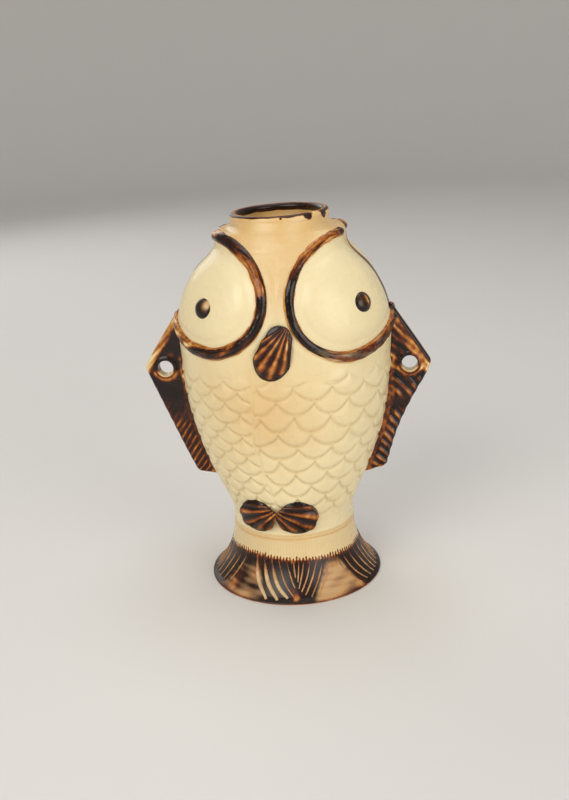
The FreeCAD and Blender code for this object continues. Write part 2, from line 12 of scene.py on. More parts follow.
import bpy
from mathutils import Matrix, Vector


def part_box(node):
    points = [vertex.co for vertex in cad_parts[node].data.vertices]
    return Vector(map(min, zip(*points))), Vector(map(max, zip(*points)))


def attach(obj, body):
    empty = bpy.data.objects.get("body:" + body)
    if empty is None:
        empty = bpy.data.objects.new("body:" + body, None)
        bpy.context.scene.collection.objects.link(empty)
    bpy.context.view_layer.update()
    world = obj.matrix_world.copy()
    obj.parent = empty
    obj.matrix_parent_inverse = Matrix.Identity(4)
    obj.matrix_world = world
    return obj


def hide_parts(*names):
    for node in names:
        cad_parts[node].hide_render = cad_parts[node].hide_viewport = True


bl_info = {
    "name": "Double Fish Vase",
    "version": (1, 0, 0),
    "blender": (4, 5, 0),
    "location": "View3D > Sidebar > Fish Vase",
    "description": "Makes the glazed pieces of a double fish vase around its packed frame",
    "category": "Object",
}

import math

import bmesh
import bpy
import numpy as np
from bpy.props import FloatProperty, FloatVectorProperty, IntProperty, PointerProperty
from mathutils import Matrix, Vector

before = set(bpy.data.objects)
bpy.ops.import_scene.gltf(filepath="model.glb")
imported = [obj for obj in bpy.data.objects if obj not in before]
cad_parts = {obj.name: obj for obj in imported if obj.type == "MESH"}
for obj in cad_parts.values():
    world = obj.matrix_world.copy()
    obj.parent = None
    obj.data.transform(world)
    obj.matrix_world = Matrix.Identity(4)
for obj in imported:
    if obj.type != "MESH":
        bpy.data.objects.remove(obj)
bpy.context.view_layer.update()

MM = 0.001
BODY = "root"
FISHES = (("right", 1), ("left", -1))
TO_BACK = np.array([-1, -1, 1])

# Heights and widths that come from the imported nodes, in millimetres
SHELL_LOW, SHELL_HIGH = (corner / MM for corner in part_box("right_fish_shell"))
WAIST_HEIGHT, SHOULDER_HEIGHT = SHELL_LOW.z, SHELL_HIGH.z
BELLY_HALF_WIDTH = SHELL_HIGH.x
FOOT_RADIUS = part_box("right_tail_foot")[1].x / MM
VASE_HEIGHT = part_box("neck_collar")[1].z / MM
FLOOR_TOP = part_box("base_disc")[1].z / MM
RING_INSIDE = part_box("base_disc")[1].x / MM
FIN_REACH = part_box("right_dorsal_fin")[1].x / MM

# The vase's own sizes, as in its source
WALL = 5.0
WAIST_RADIUS = 46.0
SHOULDER_RADIUS = 47.0
COLLAR_RADIUS = 35.0
COLLAR_SWEEP_HEIGHT = 11.0
COLLAR_SHOULDER_ROUND = 6.0
LIP_RADIUS = 2.9
FOOT_TOE_WIDTH, FOOT_TOE_HEIGHT, FOOT_EDGE_HEIGHT = 4.0, 3.6, 1.2
TOE_INSIDE, LEDGE_HEIGHT = 60.0, 4.0
RIDGE_RADIUS = 4.5
SNOUT_HEIGHT = 0.9446 * VASE_HEIGHT
GILL_LOWS = {1: 0.6589 * VASE_HEIGHT, -1: 0.675 * VASE_HEIGHT}
FIN_TIP_HEIGHT, FIN_TOP_HEIGHT, FIN_BOTTOM_HEIGHT = (share * VASE_HEIGHT for share in (0.5929, 0.75, 0.2821))
FIN_BOTTOM_REACH = 0.929 * BELLY_HALF_WIDTH
EYELET = (1.1665 * BELLY_HALF_WIDTH, 0.5882 * VASE_HEIGHT)
EYELET_RADIUS = 5.8
FIN_THICKNESS = 8.0

# Where the two lobes of a fish's section meet, the clay is rubbed soft over this share of a radius
LOBE_SOFTNESS = 0.07
# A thin row of faces beside a joint keeps the joint from shading as a line
THIN_ROW = 0.05
# Between the heads the clay slopes from the forehead straight up to the lip
FOREHEAD_FOOT, FOREHEAD_TOP, FOREHEAD_DEPTH = 236.0, 277.0, 5.8

# Turning lines that the wheel left: height, how far they stand up or lie sunk, and half width
WAIST_LINES = ((47.4, 0.4, 0.7), (46.0, -0.35, 0.5))
FOREHEAD_RING = (256.5, -0.22, 0.7)
NECK_GROOVE = (270.5, -0.08, 0.8)
FOOT_GROOVE = (43.2, -0.4, 0.6)
# How far a scale hangs over the next row, as a share of a row
OVERLAP = 0.82
# A closer grain of clay, in millimetres, for the eyes and the small fins
EYE_GRAIN, SMALL_FIN_GRAIN = 0.4, 0.45

# Drips and bare spots of glaze on the lip: azimuth, height and radius
LIP_SPOTS = (
    (40.5, 277.8, 2.9), (37.0, 278.4, 2.6), (65.0, 278.2, 3.2), (68.5, 276.2, 2.8), (-62.0, 278.2, 2.0),
    (7.0, 277.6, 1.0),
)

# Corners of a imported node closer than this, in millimetres, are one corner
WELD_GAP = 0.002

# The camera that was fitted to the photo: place in metres, way, roll in degrees and lens in millimetres
CAMERA_PLACE, CAMERA_WAY = (0.07787, -0.77008, 0.3918), (-0.0993, 0.9446, -0.3129)
CAMERA_ROLL, CAMERA_LENS = -2.964, 48.98
# Soft lights of the studio: name, place and width in metres, watts and tint
SOFTBOXES = (
    ("key_softbox", (-0.75, -1.55, 1.2), 1.2, 18.5, (1.0, 0.975, 0.93)),
    ("fill_softbox", (1.3, -1.3, 0.62), 1.2, 12.5, (1.0, 0.985, 0.96)),
    ("top_softbox", (0.1, 0.25, 1.7), 1.1, 7.0, (1.0, 1.0, 1.0)),
    ("back_softbox", (-0.9, 1.3, 0.95), 1.1, 5.0, (1.0, 1.0, 1.0)),
)

# Level sections of a fish: share of the height from waist to shoulder, swell share, lobe share
LOWER_SECTIONS = (
    (0.0, 0.0, 0.0), (0.041, -0.019, 0.0), (0.097, 0.07, 0.025), (0.18, 0.324, 0.08),
    (0.281, 0.587, 0.115), (0.41, 0.825, 0.12), (0.539, 0.94, 0.145), (0.668, 1.0, 0.195),
)
UPPER_SECTIONS = (
    (0.76, 0.967, 0.2), (0.843, 0.741, 0.17), (0.912, 0.393, 0.115), (0.954, 0.098, 0.04), (1.0, 0.0, 0.0),
)

# A gill ridge from the snout round the cheek to the fin: share of a quarter turn, share of its rise
GILL_LINE = (
    (0.8, 1.0), (0.66, 0.995), (0.5, 0.965), (0.28, 0.855), (0.14, 0.68), (0.1, 0.465),
    (0.145, 0.255), (0.265, 0.09), (0.435, 0.005), (0.63, 0.03), (0.82, 0.12), (1.08, 0.26),
)

# The luting seam on the belly, as azimuth and height: scales of the two fish meet on it
SEAM_LINE = (
    (-16.0, 190.0), (-16.5, 155.5), (-17.0, 146.6), (-17.2, 137.5), (-18.6, 126.3), (-18.5, 118.0),
    (-16.1, 111.5), (-15.2, 103.0), (-14.8, 96.2), (-12.1, 84.0), (-7.8, 64.0), (-6.0, 46.0),
)

# Scales of each fish, by side: azimuth of a scale's middle, degrees between scales, and the heights of
# the rows' lowest points
SCALES = {
    1: (-2.25, 22.3, (178.5, 168.0, 157.8, 146.8, 134.5, 122.7, 111.5, 101.0, 90.0, 79.8, 70.0, 61.0, 52.5)),
    -1: (-34.2, 18.4, (173.4, 165.0, 156.3, 147.7, 139.3, 131.0, 122.6, 114.3, 106.0, 97.6, 89.2, 81.0, 73.0,
                       65.0, 57.0, 49.0)),
}

# Raised rays of the tails on one face, as azimuths and heights from the glaze line to the foot's edge
TAIL_RAYS = (
    ((-86.0, 29.0), (-87.0, 15.0), (-86.0, 3.0)), ((-76.0, 29.5), (-80.0, 15.0), (-80.5, 3.0)),
    ((-66.0, 30.0), (-72.5, 15.0), (-74.0, 3.0)), ((-56.0, 31.0), (-64.0, 15.0), (-67.5, 3.0)),
    ((-48.5, 31.0), (-56.5, 15.0), (-61.0, 3.5)), ((-41.5, 31.0), (-48.0, 17.0), (-53.0, 6.0)),
    ((-31.5, 31.0), (-27.5, 15.0), (-16.5, 2.5)), ((-24.5, 30.5), (-18.5, 13.5), (-8.5, 2.5)),
    ((-17.5, 30.0), (-11.0, 13.0), (-1.5, 3.5)), ((-10.8, 29.5), (-5.0, 14.0), (2.0, 5.0)),
    ((-3.8, 29.0), (0.5, 16.0), (3.5, 9.5)), ((2.8, 28.5), (3.4, 21.0), (4.2, 16.0)),
    ((7.5, 28.5), (6.8, 20.0), (5.8, 13.0)), ((12.3, 28.5), (9.5, 18.0), (6.4, 9.0)),
    ((18.0, 28.3), (14.0, 17.0), (8.2, 7.0)), ((24.0, 28.2), (18.5, 16.5), (10.8, 5.0)),
    ((30.0, 28.0), (23.5, 15.5), (14.8, 3.6)), ((36.0, 28.0), (28.5, 14.5), (19.5, 3.0)),
    ((42.0, 28.0), (47.5, 13.5), (56.5, 3.0)), ((49.4, 27.5), (55.5, 13.0), (63.5, 3.0)),
    ((57.0, 27.4), (63.0, 13.5), (69.5, 3.0)), ((65.0, 27.6), (70.5, 14.0), (75.5, 3.0)),
    ((73.5, 28.3), (77.5, 14.0), (81.0, 3.0)), ((82.0, 28.6), (84.5, 14.0), (86.5, 3.0)),
)

# The height of the glaze line round one face of the foot, by azimuth
GLAZE_LINE = (
    (-90.0, 26.5), (-81.6, 26.7), (-62.0, 29.8), (-48.4, 31.4), (-31.2, 31.4), (-16.5, 30.3), (-0.1, 29.6),
    (26.8, 28.2), (42.5, 28.0), (63.3, 27.3), (80.0, 27.8), (90.0, 26.5),
)


def linear(code):
    """Turn an sRGB hex colour into linear red, green and blue."""
    parts = [int(code[place:place + 2], 16) / 255 for place in (1, 3, 5)]
    return tuple(part / 12.92 if part <= 0.04045 else ((part + 0.055) / 1.055) ** 2.4 for part in parts)


# Shapes in numbers

def spline_through(places, values):
    """Return a smooth function through values at rising places."""
    x, y = np.array(places, float), np.array(values, float)
    step = np.diff(x)
    system, right = np.eye(len(x)), np.zeros(len(x))
    for i in range(1, len(x) - 1):
        system[i, i - 1:i + 2] = step[i - 1], 2 * (step[i - 1] + step[i]), step[i]
        right[i] = 6 * ((y[i + 1] - y[i]) / step[i] - (y[i] - y[i - 1]) / step[i - 1])
    bend = np.linalg.solve(system, right)

    def value(at):
        at = np.clip(np.asarray(at, float), x[0], x[-1])
        i = np.clip(np.searchsorted(x, at) - 1, 0, len(x) - 2)
        below, above, h = at - x[i], x[i + 1] - at, step[i]
        return (
            (bend[i] * above ** 3 + bend[i + 1] * below ** 3) / (6 * h)
            + (y[i] / h - bend[i] * h / 6) * above + (y[i + 1] / h - bend[i + 1] * h / 6) * below
        )

    return value


def fish_sections():
    """Return the fish's half width and lobe share as functions of height."""
    rise = SHOULDER_HEIGHT - WAIST_HEIGHT
    heights, widths, lobes = [], [], []
    for end, sections in ((WAIST_RADIUS, LOWER_SECTIONS), (SHOULDER_RADIUS, UPPER_SECTIONS)):
        for height_share, swell, lobe in sections:
            heights.append(WAIST_HEIGHT + height_share * rise)
            widths.append(end + swell * (BELLY_HALF_WIDTH - end))
            lobes.append(lobe)
    return spline_through(heights, widths), spline_through(heights, lobes)


HALF_WIDTH, LOBE_SHARE = fish_sections()


def skin_reach(azimuth, height, shrink=0.0):
    """Return how far the fish's side lies from the vase's axis."""
    turn = np.radians(azimuth)
    half_width = HALF_WIDTH(height)
    middle = half_width * LOBE_SHARE(height)
    radius = half_width - middle - shrink
    aside = np.abs(np.sin(turn))
    softened = aside + LOBE_SOFTNESS * np.exp(-aside / LOBE_SOFTNESS)
    return middle * softened + np.sqrt(radius ** 2 - (middle * np.cos(turn)) ** 2)


def smooth(low, high, value):
    """Go smoothly from 0 at low to 1 at high, also where high is the smaller."""
    share = np.clip((value - low) / (high - low), 0, 1)
    return share * share * (3 - 2 * share)


def band(value, start, full, ebb, end):
    """Rise from 0 at start to 1 at full, and fall from 1 at ebb back to 0 at end."""
    return smooth(start, full, value) * smooth(end, ebb, value)


def hump(value, middle, width):
    """Return a soft hump: 1 where the value is at its middle, falling off over its width."""
    return np.exp(-((value - middle) / width) ** 2)


def turning_line(height, line):
    """Return how far a turning line lifts the clay at heights."""
    middle, lift, width = line
    return lift * hump(height, middle, width)


def blend(under, over, share):
    """Go from what lies under to what lies over it, by share."""
    return under * (1 - share) + share * over


def waver(points, length, seed):
    """Return a smoothly wandering number, about -1 to 1, at each point."""
    source = np.random.default_rng(seed)
    total = np.zeros(len(points))
    for _ in range(7):
        way = source.normal(size=3)
        way *= 2 * math.pi * source.uniform(0.6, 1.6) / (length * np.linalg.norm(way))
        total += np.sin(points @ way + source.uniform(0, 2 * math.pi))
    return total / 2.6


def around(azimuth, reach, height):
    """Return points at azimuths, distances from the axis and heights."""
    turn = np.radians(azimuth)
    return np.stack(np.broadcast_arrays(reach * np.sin(turn), -reach * np.cos(turn), height), axis=-1)


def azimuth_of(points):
    """Return each point's azimuth."""
    return np.degrees(np.arctan2(points[:, 0], -points[:, 1]))


def as_front(points):
    """Turn points of the back half round, so that the front's measures fit them."""
    back = points[:, 1] > 0
    turned = points.copy()
    turned[back, :2] *= -1
    return turned


def front_azimuth_of(azimuth):
    """Turn azimuths of the back half round, on to the front."""
    return azimuth - 180 * np.round(azimuth / 180)


def near_line(points, line):
    """Return each point's distance from a line, how far along it that is, and the nearest place."""
    line = np.asarray(line, float)
    lengths = np.linalg.norm(np.diff(line, axis=0), axis=1)
    starts = np.concatenate([[0], np.cumsum(lengths)])
    best = np.full(len(points), np.inf)
    along = np.zeros(len(points))
    place = np.zeros((len(points), 3))
    for i, length in enumerate(lengths):
        way = (line[i + 1] - line[i]) / length
        share = np.clip((points - line[i]) @ way, 0, length)
        foot = line[i] + share[:, None] * way
        gap = np.linalg.norm(points - foot, axis=1)
        nearer = gap < best
        best[nearer] = gap[nearer]
        along[nearer] = (starts[i] + share[nearer]) / starts[-1]
        place[nearer] = foot[nearer]
    return best, along, place


def gill_places(side, count=90):
    """Return azimuths and heights along the gill line of one side of the front."""
    low = GILL_LOWS[side]
    shares = np.array(GILL_LINE)
    steps = np.arange(len(shares))
    at = np.linspace(0, steps[-1], count)
    azimuth = side * 90 * spline_through(steps, shares[:, 0])(at)
    height = low + (SNOUT_HEIGHT - low) * spline_through(steps, shares[:, 1])(at)
    return azimuth, height


def side_reach(azimuth, height):
    """Return how far the vase's outside lies from its axis, from the waist to the neck."""
    return np.where(height < SHOULDER_HEIGHT, skin_reach(azimuth, height), collar_reach(height))


def on_skin(azimuth, height):
    """Return the points of the vase's outside at azimuths and heights from the waist to the neck."""
    return around(azimuth, side_reach(azimuth, height), height)


def press_forehead(points, depth, skin=None):
    """Press the clay in between the two heads, where they run up into the neck."""
    azimuth, height = azimuth_of(as_front(points)), points[:, 2]
    if skin is None:
        skin = side_reach(azimuth, height)
    foot = skin_reach(azimuth, FOREHEAD_FOOT)
    share = np.clip((height - FOREHEAD_FOOT) / (FOREHEAD_TOP - FOREHEAD_FOOT), 0, 1)
    slope = foot + (COLLAR_RADIUS - foot) * (share + 0.3 * share ** 2 * (1 - share))
    room = np.where(height > FOREHEAD_TOP, 0, skin - slope)
    valley = smooth(FOREHEAD_FOOT, FOREHEAD_FOOT + 10, height) * smooth(68, 26, np.abs(azimuth))
    pressed = points.copy()
    change = depth / FOREHEAD_DEPTH * valley * room
    pressed[:, :2] *= (1 - change / np.linalg.norm(points[:, :2], axis=1))[:, None]
    return pressed


def collar_profile(count):
    """Return the collar's closed outline as reach and height: outside, lip and inside."""
    across = SHOULDER_RADIUS - COLLAR_RADIUS
    both = (across ** 2 + COLLAR_SWEEP_HEIGHT ** 2) / (2 * across)
    low = np.array([SHOULDER_RADIUS - COLLAR_SHOULDER_ROUND, SHOULDER_HEIGHT])
    high = np.array([COLLAR_RADIUS + both - COLLAR_SHOULDER_ROUND, SHOULDER_HEIGHT + COLLAR_SWEEP_HEIGHT])
    lean = math.atan2(*(high - low)[::-1])

    def arc(middle, radius, start, end, steps):
        turns = np.linspace(start, end, steps)
        return middle + radius * np.stack([np.cos(turns), np.sin(turns)], axis=-1)

    bead = np.array([COLLAR_RADIUS - WALL / 2, VASE_HEIGHT - LIP_RADIUS])
    dip = math.asin(math.sqrt(LIP_RADIUS ** 2 - (WALL / 2) ** 2) / LIP_RADIUS)
    outer = np.concatenate([
        arc(low, COLLAR_SHOULDER_ROUND, 0, lean, count),
        arc(high, both - COLLAR_SHOULDER_ROUND, math.pi + lean, math.pi, count)[1:],
    ])
    lip = arc(bead, LIP_RADIUS, -dip, math.pi + dip, 2 * count)
    inner = np.concatenate([
        arc(high, both - COLLAR_SHOULDER_ROUND + WALL, math.pi, math.pi + lean, count),
        arc(low, COLLAR_SHOULDER_ROUND - WALL, lean, 0, count // 2)[1:],
    ])
    return outer, lip, inner


def collar_reach(height):
    """Return the collar's outside reach at heights above the shoulder."""
    outer = collar_profile(48)[0]
    return np.interp(height, outer[:, 1], outer[:, 0])


def foot_arc(count, inset=0.0, low=FOOT_TOE_HEIGHT):
    """Return the foot's sweep from waist to toe, or its inside, as reach and height."""
    spread = FOOT_RADIUS - FOOT_TOE_WIDTH - WAIST_RADIUS
    drop = WAIST_HEIGHT - FOOT_TOE_HEIGHT
    sweep = (spread ** 2 + drop ** 2) / (2 * spread)
    height = np.linspace(WAIST_HEIGHT, low, count)
    reach = WAIST_RADIUS + sweep - np.sqrt((sweep + inset) ** 2 - (WAIST_HEIGHT - height) ** 2)
    return np.stack([reach, height], axis=-1)


def foot_reach(height):
    """Return the foot's outside reach at heights."""
    arc = foot_arc(40)[::-1]
    heights = np.concatenate([[0, FOOT_EDGE_HEIGHT], arc[:, 1]])
    return np.interp(height, heights, np.concatenate([[FOOT_RADIUS, FOOT_RADIUS], arc[:, 0]]))


# Meshes

def new_piece(name, points, faces, attributes, material=None):
    """Make a mesh piece from points in millimetres, facing outwards, with point attributes."""
    points = np.asarray(points, float)
    volume = 0.0
    for k in range(1, max(len(face) for face in faces) - 1):
        fans = [(face[0], face[k], face[k + 1]) for face in faces if len(face) > k + 1]
        a, b, c = (points[[fan[i] for fan in fans]] for i in range(3))
        volume += float(np.einsum("ij,ij->i", a, np.cross(b, c)).sum())
    if volume < 0:
        faces = [tuple(reversed(face)) for face in faces]
    mesh = bpy.data.meshes.new(name)
    mesh.from_pydata((points * MM).tolist(), [], faces)
    return dress(name, mesh, attributes, material)


def dress(name, mesh, attributes, material=None):
    """Give a mesh its attributes, smooth faces and its object."""
    for label, values in attributes.items():
        values = np.asarray(values, np.float32)
        kind, field = ("FLOAT_VECTOR", "vector") if values.ndim == 2 else ("FLOAT", "value")
        layer = mesh.attributes.new(label, kind, "POINT")
        layer.data.foreach_set(field, values.ravel())
    for polygon in mesh.polygons:
        polygon.use_smooth = True
    if material:
        mesh.materials.append(material)
    piece = bpy.data.objects.new(name, mesh)
    bpy.context.scene.collection.objects.link(piece)
    return piece


def settle(piece, slot, *replaced):
    """Tie a finished piece to the frame: its body and the nodes that it replaces. The slot is not used."""
    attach(piece, BODY)
    if replaced:
        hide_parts(*replaced)


def move_points(mesh, points):
    """Put a mesh's points where they are told, in millimetres."""
    mesh.vertices.foreach_set("co", (points * MM).astype(np.float32).ravel())


def crease_rims(mesh, *rims):
    """Keep the rims crisp, so that the joints between pieces don't shade as rounded."""
    on_rim = np.zeros(len(mesh.vertices), bool)
    for rim in rims:
        on_rim[rim] = True
    ends = np.zeros(len(mesh.edges) * 2, np.int32)
    mesh.edges.foreach_get("vertices", ends)
    crease = mesh.attributes.new("sharp_edge", "BOOLEAN", "EDGE")
    crease.data.foreach_set("value", on_rim[ends.reshape(-1, 2)].all(axis=1))


def skin_grid(side, columns, heights, shrink=0.0):
    """Lay a grid over one fish's side, or inside it, and return its azimuths, heights and points."""
    azimuth = np.repeat(np.linspace(0, side * 180, columns), len(heights))
    height = np.tile(heights, columns)
    return azimuth, height, around(azimuth, skin_reach(azimuth, height, shrink), height)


def turned_grid(azimuths, profile):
    """Turn a profile round the axis, and return the grid's azimuths, reaches, heights and points."""
    azimuth = np.repeat(azimuths, len(profile))
    reach, height = (np.tile(values, len(azimuths)) for values in profile.T)
    return azimuth, reach, height, around(azimuth, reach, height)


def grid_faces(columns, rows, start=0, ring=False, closed=False):
    """Return the faces of a grid that is stored column by column. A ring's last column joins its first, and
    a closed grid's last row its first.
    """
    pairs = [
        (start + i * rows, start + (i + 1) % columns * rows) for i in range(columns if ring else columns - 1)
    ]
    faces = [(a + j, b + j, b + j + 1, a + j + 1) for a, b in pairs for j in range(rows - 1)]
    if closed:
        faces += [(a + rows - 1, b + rows - 1, b, a) for a, b in pairs]
    return faces


def grid_border(columns, rows, start):
    """Return the border of a grid as point numbers and as places from 0 to 4 round it."""
    last_column, last_row = columns - 1, rows - 1
    numbers = [start + i * rows for i in range(last_column)]
    numbers += [start + last_column * rows + j for j in range(last_row)]
    numbers += [start + i * rows + last_row for i in range(last_column, 0, -1)]
    numbers += [start + j for j in range(last_row, 0, -1)]
    counts = (last_column, last_row) * 2
    places = [side + k / count for side, count in enumerate(counts) for k in range(count)]
    return numbers, places


def bridge(first, second):
    """Join two closed borders of different counts with triangles."""
    (a, a_at), (b, b_at) = first, second
    faces, i, j = [], 0, 0
    a_at, b_at = [*a_at, 4.0], [*b_at, 4.0]
    while i < len(a) or j < len(b):
        if j >= len(b) or (i < len(a) and a_at[i + 1] <= b_at[j + 1]):
            faces.append((a[i % len(a)], b[j % len(b)], a[(i + 1) % len(a)]))
            i += 1
        else:
            faces.append((a[i % len(a)], b[j % len(b)], b[(j + 1) % len(b)]))
            j += 1
    return faces


def grid_outward(points, columns, rows, ring=False):
    """Return the outward way at each point of a grid stored column by column."""
    grid = points.reshape(columns, rows, 3)
    if ring:
        across = np.roll(grid, -1, axis=0) - np.roll(grid, 1, axis=0)
    else:
        across = np.gradient(grid, axis=0)
    way = np.cross(across, np.gradient(grid, axis=1))
    way /= np.maximum(np.linalg.norm(way, axis=2, keepdims=True), 1e-9)
    return way.reshape(-1, 3)


def clay_copy(node, grain, lump=None):
    """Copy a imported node, add a round lump if asked, knead it to an even grain, and return its mesh,
    points and outward ways. The lump is its middle and its radius.
    """
    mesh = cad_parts[node].data.copy()
    soft = bmesh.new()
    soft.from_mesh(mesh)
    bmesh.ops.remove_doubles(soft, verts=soft.verts, dist=WELD_GAP * MM)
    if lump:
        middle, radius = lump
        bmesh.ops.create_icosphere(
            soft, subdivisions=3, radius=radius * MM, matrix=Matrix.Translation(Vector(middle) * MM)
        )
    soft.to_mesh(mesh)
    soft.free()
    clay = bpy.data.objects.new(f"{node}_clay", mesh)
    bpy.context.scene.collection.objects.link(clay)
    knead = clay.modifiers.new("knead", "REMESH")
    knead.mode = "VOXEL"
    knead.voxel_size = grain * MM
    smoothing = clay.modifiers.new("smooth", "SMOOTH")
    smoothing.factor = 0.5
    smoothing.iterations = 3
    graph = bpy.context.evaluated_depsgraph_get()
    kneaded = bpy.data.meshes.new_from_object(clay.evaluated_get(graph), depsgraph=graph)
    bpy.data.objects.remove(clay)
    kneaded.materials.clear()
    places = []
    for field in ("co", "normal"):
        values = np.zeros(len(kneaded.vertices) * 3, np.float32)
        kneaded.vertices.foreach_get(field, values)
        places.append(values.reshape(-1, 3).astype(float))
    return kneaded, places[0] / MM, places[1]


# Node trees

def add_node(tree, kind, inputs=None, **settings):
    """Add a node with its settings, and set or link its inputs by name or number."""
    node = tree.nodes.new(kind)
    for key, value in settings.items():
        setattr(node, key, value)
    for key, value in (inputs or {}).items():
        if isinstance(value, bpy.types.NodeSocket):
            tree.links.new(value, node.inputs[key])
        else:
            node.inputs[key].default_value = value
    return node


def number(tree, operation, *terms, clamp=False):
    """Add a math node over its terms and return its result."""
    inputs = dict(enumerate(terms))
    return add_node(tree, "ShaderNodeMath", inputs, operation=operation, use_clamp=clamp).outputs[0]


def new_tree(name, numbers):
    """Start a Geometry Nodes tree whose inputs are named numbers with defaults; return it and its entry."""
    tree = bpy.data.node_groups.new(name, "GeometryNodeTree")
    tree.interface.new_socket("Geometry", in_out="INPUT", socket_type="NodeSocketGeometry")
    for label, default in numbers.items():
        kind = "NodeSocketInt" if isinstance(default, int) else "NodeSocketFloat"
        tree.interface.new_socket(label, in_out="INPUT", socket_type=kind).default_value = default
    tree.interface.new_socket("Material", in_out="INPUT", socket_type="NodeSocketMaterial")
    tree.interface.new_socket("Geometry", in_out="OUTPUT", socket_type="NodeSocketGeometry")
    return tree, add_node(tree, "NodeGroupInput")


def end_tree(tree, entry, shape):
    """End a tree with real geometry that carries the material."""
    real = add_node(tree, "GeometryNodeRealizeInstances", {"Geometry": shape})
    material = entry.outputs["Material"]
    finished = add_node(tree, "GeometryNodeSetMaterial", {"Geometry": real.outputs[0], "Material": material})
    add_node(tree, "NodeGroupOutput", {"Geometry": finished.outputs[0]})
    return tree


def stored(tree, label, **settings):
    """Read a point attribute in a tree."""
    return add_node(tree, "GeometryNodeInputNamedAttribute", {"Name": label}, **settings).outputs["Attribute"]


def new_relief_tree(name, numbers, attributes, steps):
    """Make a Geometry Nodes tree that raises a surface along its outward ways.

    numbers are its named inputs with their defaults, attributes the point attributes that it reads, and
    steps a table of named sums that end in height, in metres, and in what is stored for the glaze.
    """
    tree, entry = new_tree(name, numbers)
    known = {label: entry.outputs[label] for label in numbers}
    known.update((label, stored(tree, label)) for label in attributes)
    for result, operation, *terms in steps:
        known[result] = number(tree, operation, *(known.get(term, term) for term in terms))
    outward = stored(tree, "outward", data_type="FLOAT_VECTOR")
    offset = add_node(tree, "ShaderNodeVectorMath", {0: outward, "Scale": known["height"]}, operation="SCALE")
    shape = add_node(
        tree, "GeometryNodeSetPosition", {"Geometry": entry.outputs["Geometry"], "Offset": offset.outputs[0]}
    ).outputs[0]
    for label in ("relief", "pool_and_shade"):
        inputs = {"Geometry": shape, "Name": label, "Value": known[label]}
        store = add_node(tree, "GeometryNodeStoreNamedAttribute", inputs, data_type="FLOAT", domain="POINT")
        shape = store.outputs[0]
    return end_tree(tree, entry, shape)


def scales_tree():
    """Overlapping fish scales: each row's free edges hang over the next row, half a scale aside."""
    def edge_steps(label, place):
        return (
            (label + "_turn", "FRACT", place),
            (label + "_side", "MULTIPLY_ADD", label + "_turn", 2.0, -1.0),
            (label + "_square", "MULTIPLY", label + "_side", label + "_side"),
            (label + "_room", "SUBTRACT", 1.0, label + "_square"),
            (label + "_curve", "POWER", label + "_room", "Edge roundness"),
        )

    return new_relief_tree(
        "Pressed fish scales",
        {"Scale height": 0.0009, "Overlap": OVERLAP, "Edge softness": 0.24, "Edge roundness": 0.75},
        ("girth", "level", "fade"),
        (
            ("row", "FLOOR", "level"),
            ("odd", "FLOORED_MODULO", "row", 2.0),
            ("shift", "MULTIPLY", "odd", 0.5),
            ("own_place", "ADD", "girth", "shift"),
            ("own_middle", "ADD", "own_place", 0.5),
            *edge_steps("own", "own_middle"),
            *edge_steps("next", "own_place"),
            ("row_below", "ADD", "row", 1.0),
            ("own_edge", "MULTIPLY_ADD", "own_curve", "Overlap", "row_below"),
            ("upper_edge", "MULTIPLY_ADD", "next_curve", "Overlap", "row"),
            ("row_above", "SUBTRACT", "row", 1.0),
            ("top_edge", "MULTIPLY_ADD", "own_curve", "Overlap", "row_above"),
            ("covered", "LESS_THAN", "level", "upper_edge"),
            ("bare", "SUBTRACT", 1.0, "covered"),
            ("edge_if_covered", "MULTIPLY", "upper_edge", "covered"),
            ("edge", "MULTIPLY_ADD", "own_edge", "bare", "edge_if_covered"),
            ("root_if_covered", "MULTIPLY", "top_edge", "covered"),
            ("root", "MULTIPLY_ADD", "upper_edge", "bare", "root_if_covered"),
            ("to_edge", "SUBTRACT", "edge", "level"),
            ("from_root", "SUBTRACT", "level", "root"),
            ("length", "SUBTRACT", "edge", "root"),
            ("rise_share", "DIVIDE", "from_root", "length"),
            ("rise_quick", "MULTIPLY", "rise_share", 1.7),
            ("rise_held", "MINIMUM", "rise_quick", 1.0),
            ("rise_left", "SUBTRACT", 1.0, "rise_held"),
            ("rise_square", "MULTIPLY", "rise_left", "rise_left"),
            ("rise", "SUBTRACT", 1.0, "rise_square"),
            ("near_edge", "DIVIDE", "to_edge", "Edge softness"),
            ("near_edge_held", "MINIMUM", "near_edge", 1.0),
            ("near_edge_round", "POWER", "near_edge_held", 0.55),
            ("bulge", "MULTIPLY", "rise", "near_edge_round"),
            ("relief", "MULTIPLY", "bulge", "fade"),
            ("sunk", "MULTIPLY_ADD", "fade", -0.35, "relief"),
            ("height", "MULTIPLY", "sunk", "Scale height"),
            # Just below the edge of the row above, the cream is darkened as pool: partly glaze pooling, partly
            # painted shade
            ("root_depth", "MULTIPLY_ADD", "from_root", -3.6, 1.0),
            ("root_held", "MAXIMUM", "root_depth", 0.0),
            ("root_pool_and_shade", "MULTIPLY", "root_held", "root_held"),
            ("pool_and_shade", "MULTIPLY", "root_pool_and_shade", "fade"),
        ),
    )


def ribs_tree():
    """Raised ribs, one for each whole number of a phase that runs across them."""
    return new_relief_tree(
        "Clay ribs",
        {"Rib height": 0.0008, "Rib sharpness": 3.0},
        ("phase", "fade"),
        (
            ("turn", "FRACT", "phase"),
            ("side", "MULTIPLY_ADD", "turn", 2.0, -1.0),
            ("distance", "ABSOLUTE", "side"),
            ("nearness", "SUBTRACT", 1.0, "distance"),
            ("angle", "MULTIPLY", "nearness", math.pi / 2),
            ("wave", "SINE", "angle"),
            ("rib", "POWER", "wave", "Rib sharpness"),
            ("relief", "MULTIPLY", "rib", "fade"),
            ("height", "MULTIPLY", "relief", "Rib height"),
            # Between the ribs the cream is darkened as pool: partly glaze pooling, partly painted shade
            ("groove", "SUBTRACT", 1.0, "rib"),
            ("pool_and_shade", "MULTIPLY", "groove", "fade"),
        ),
    )


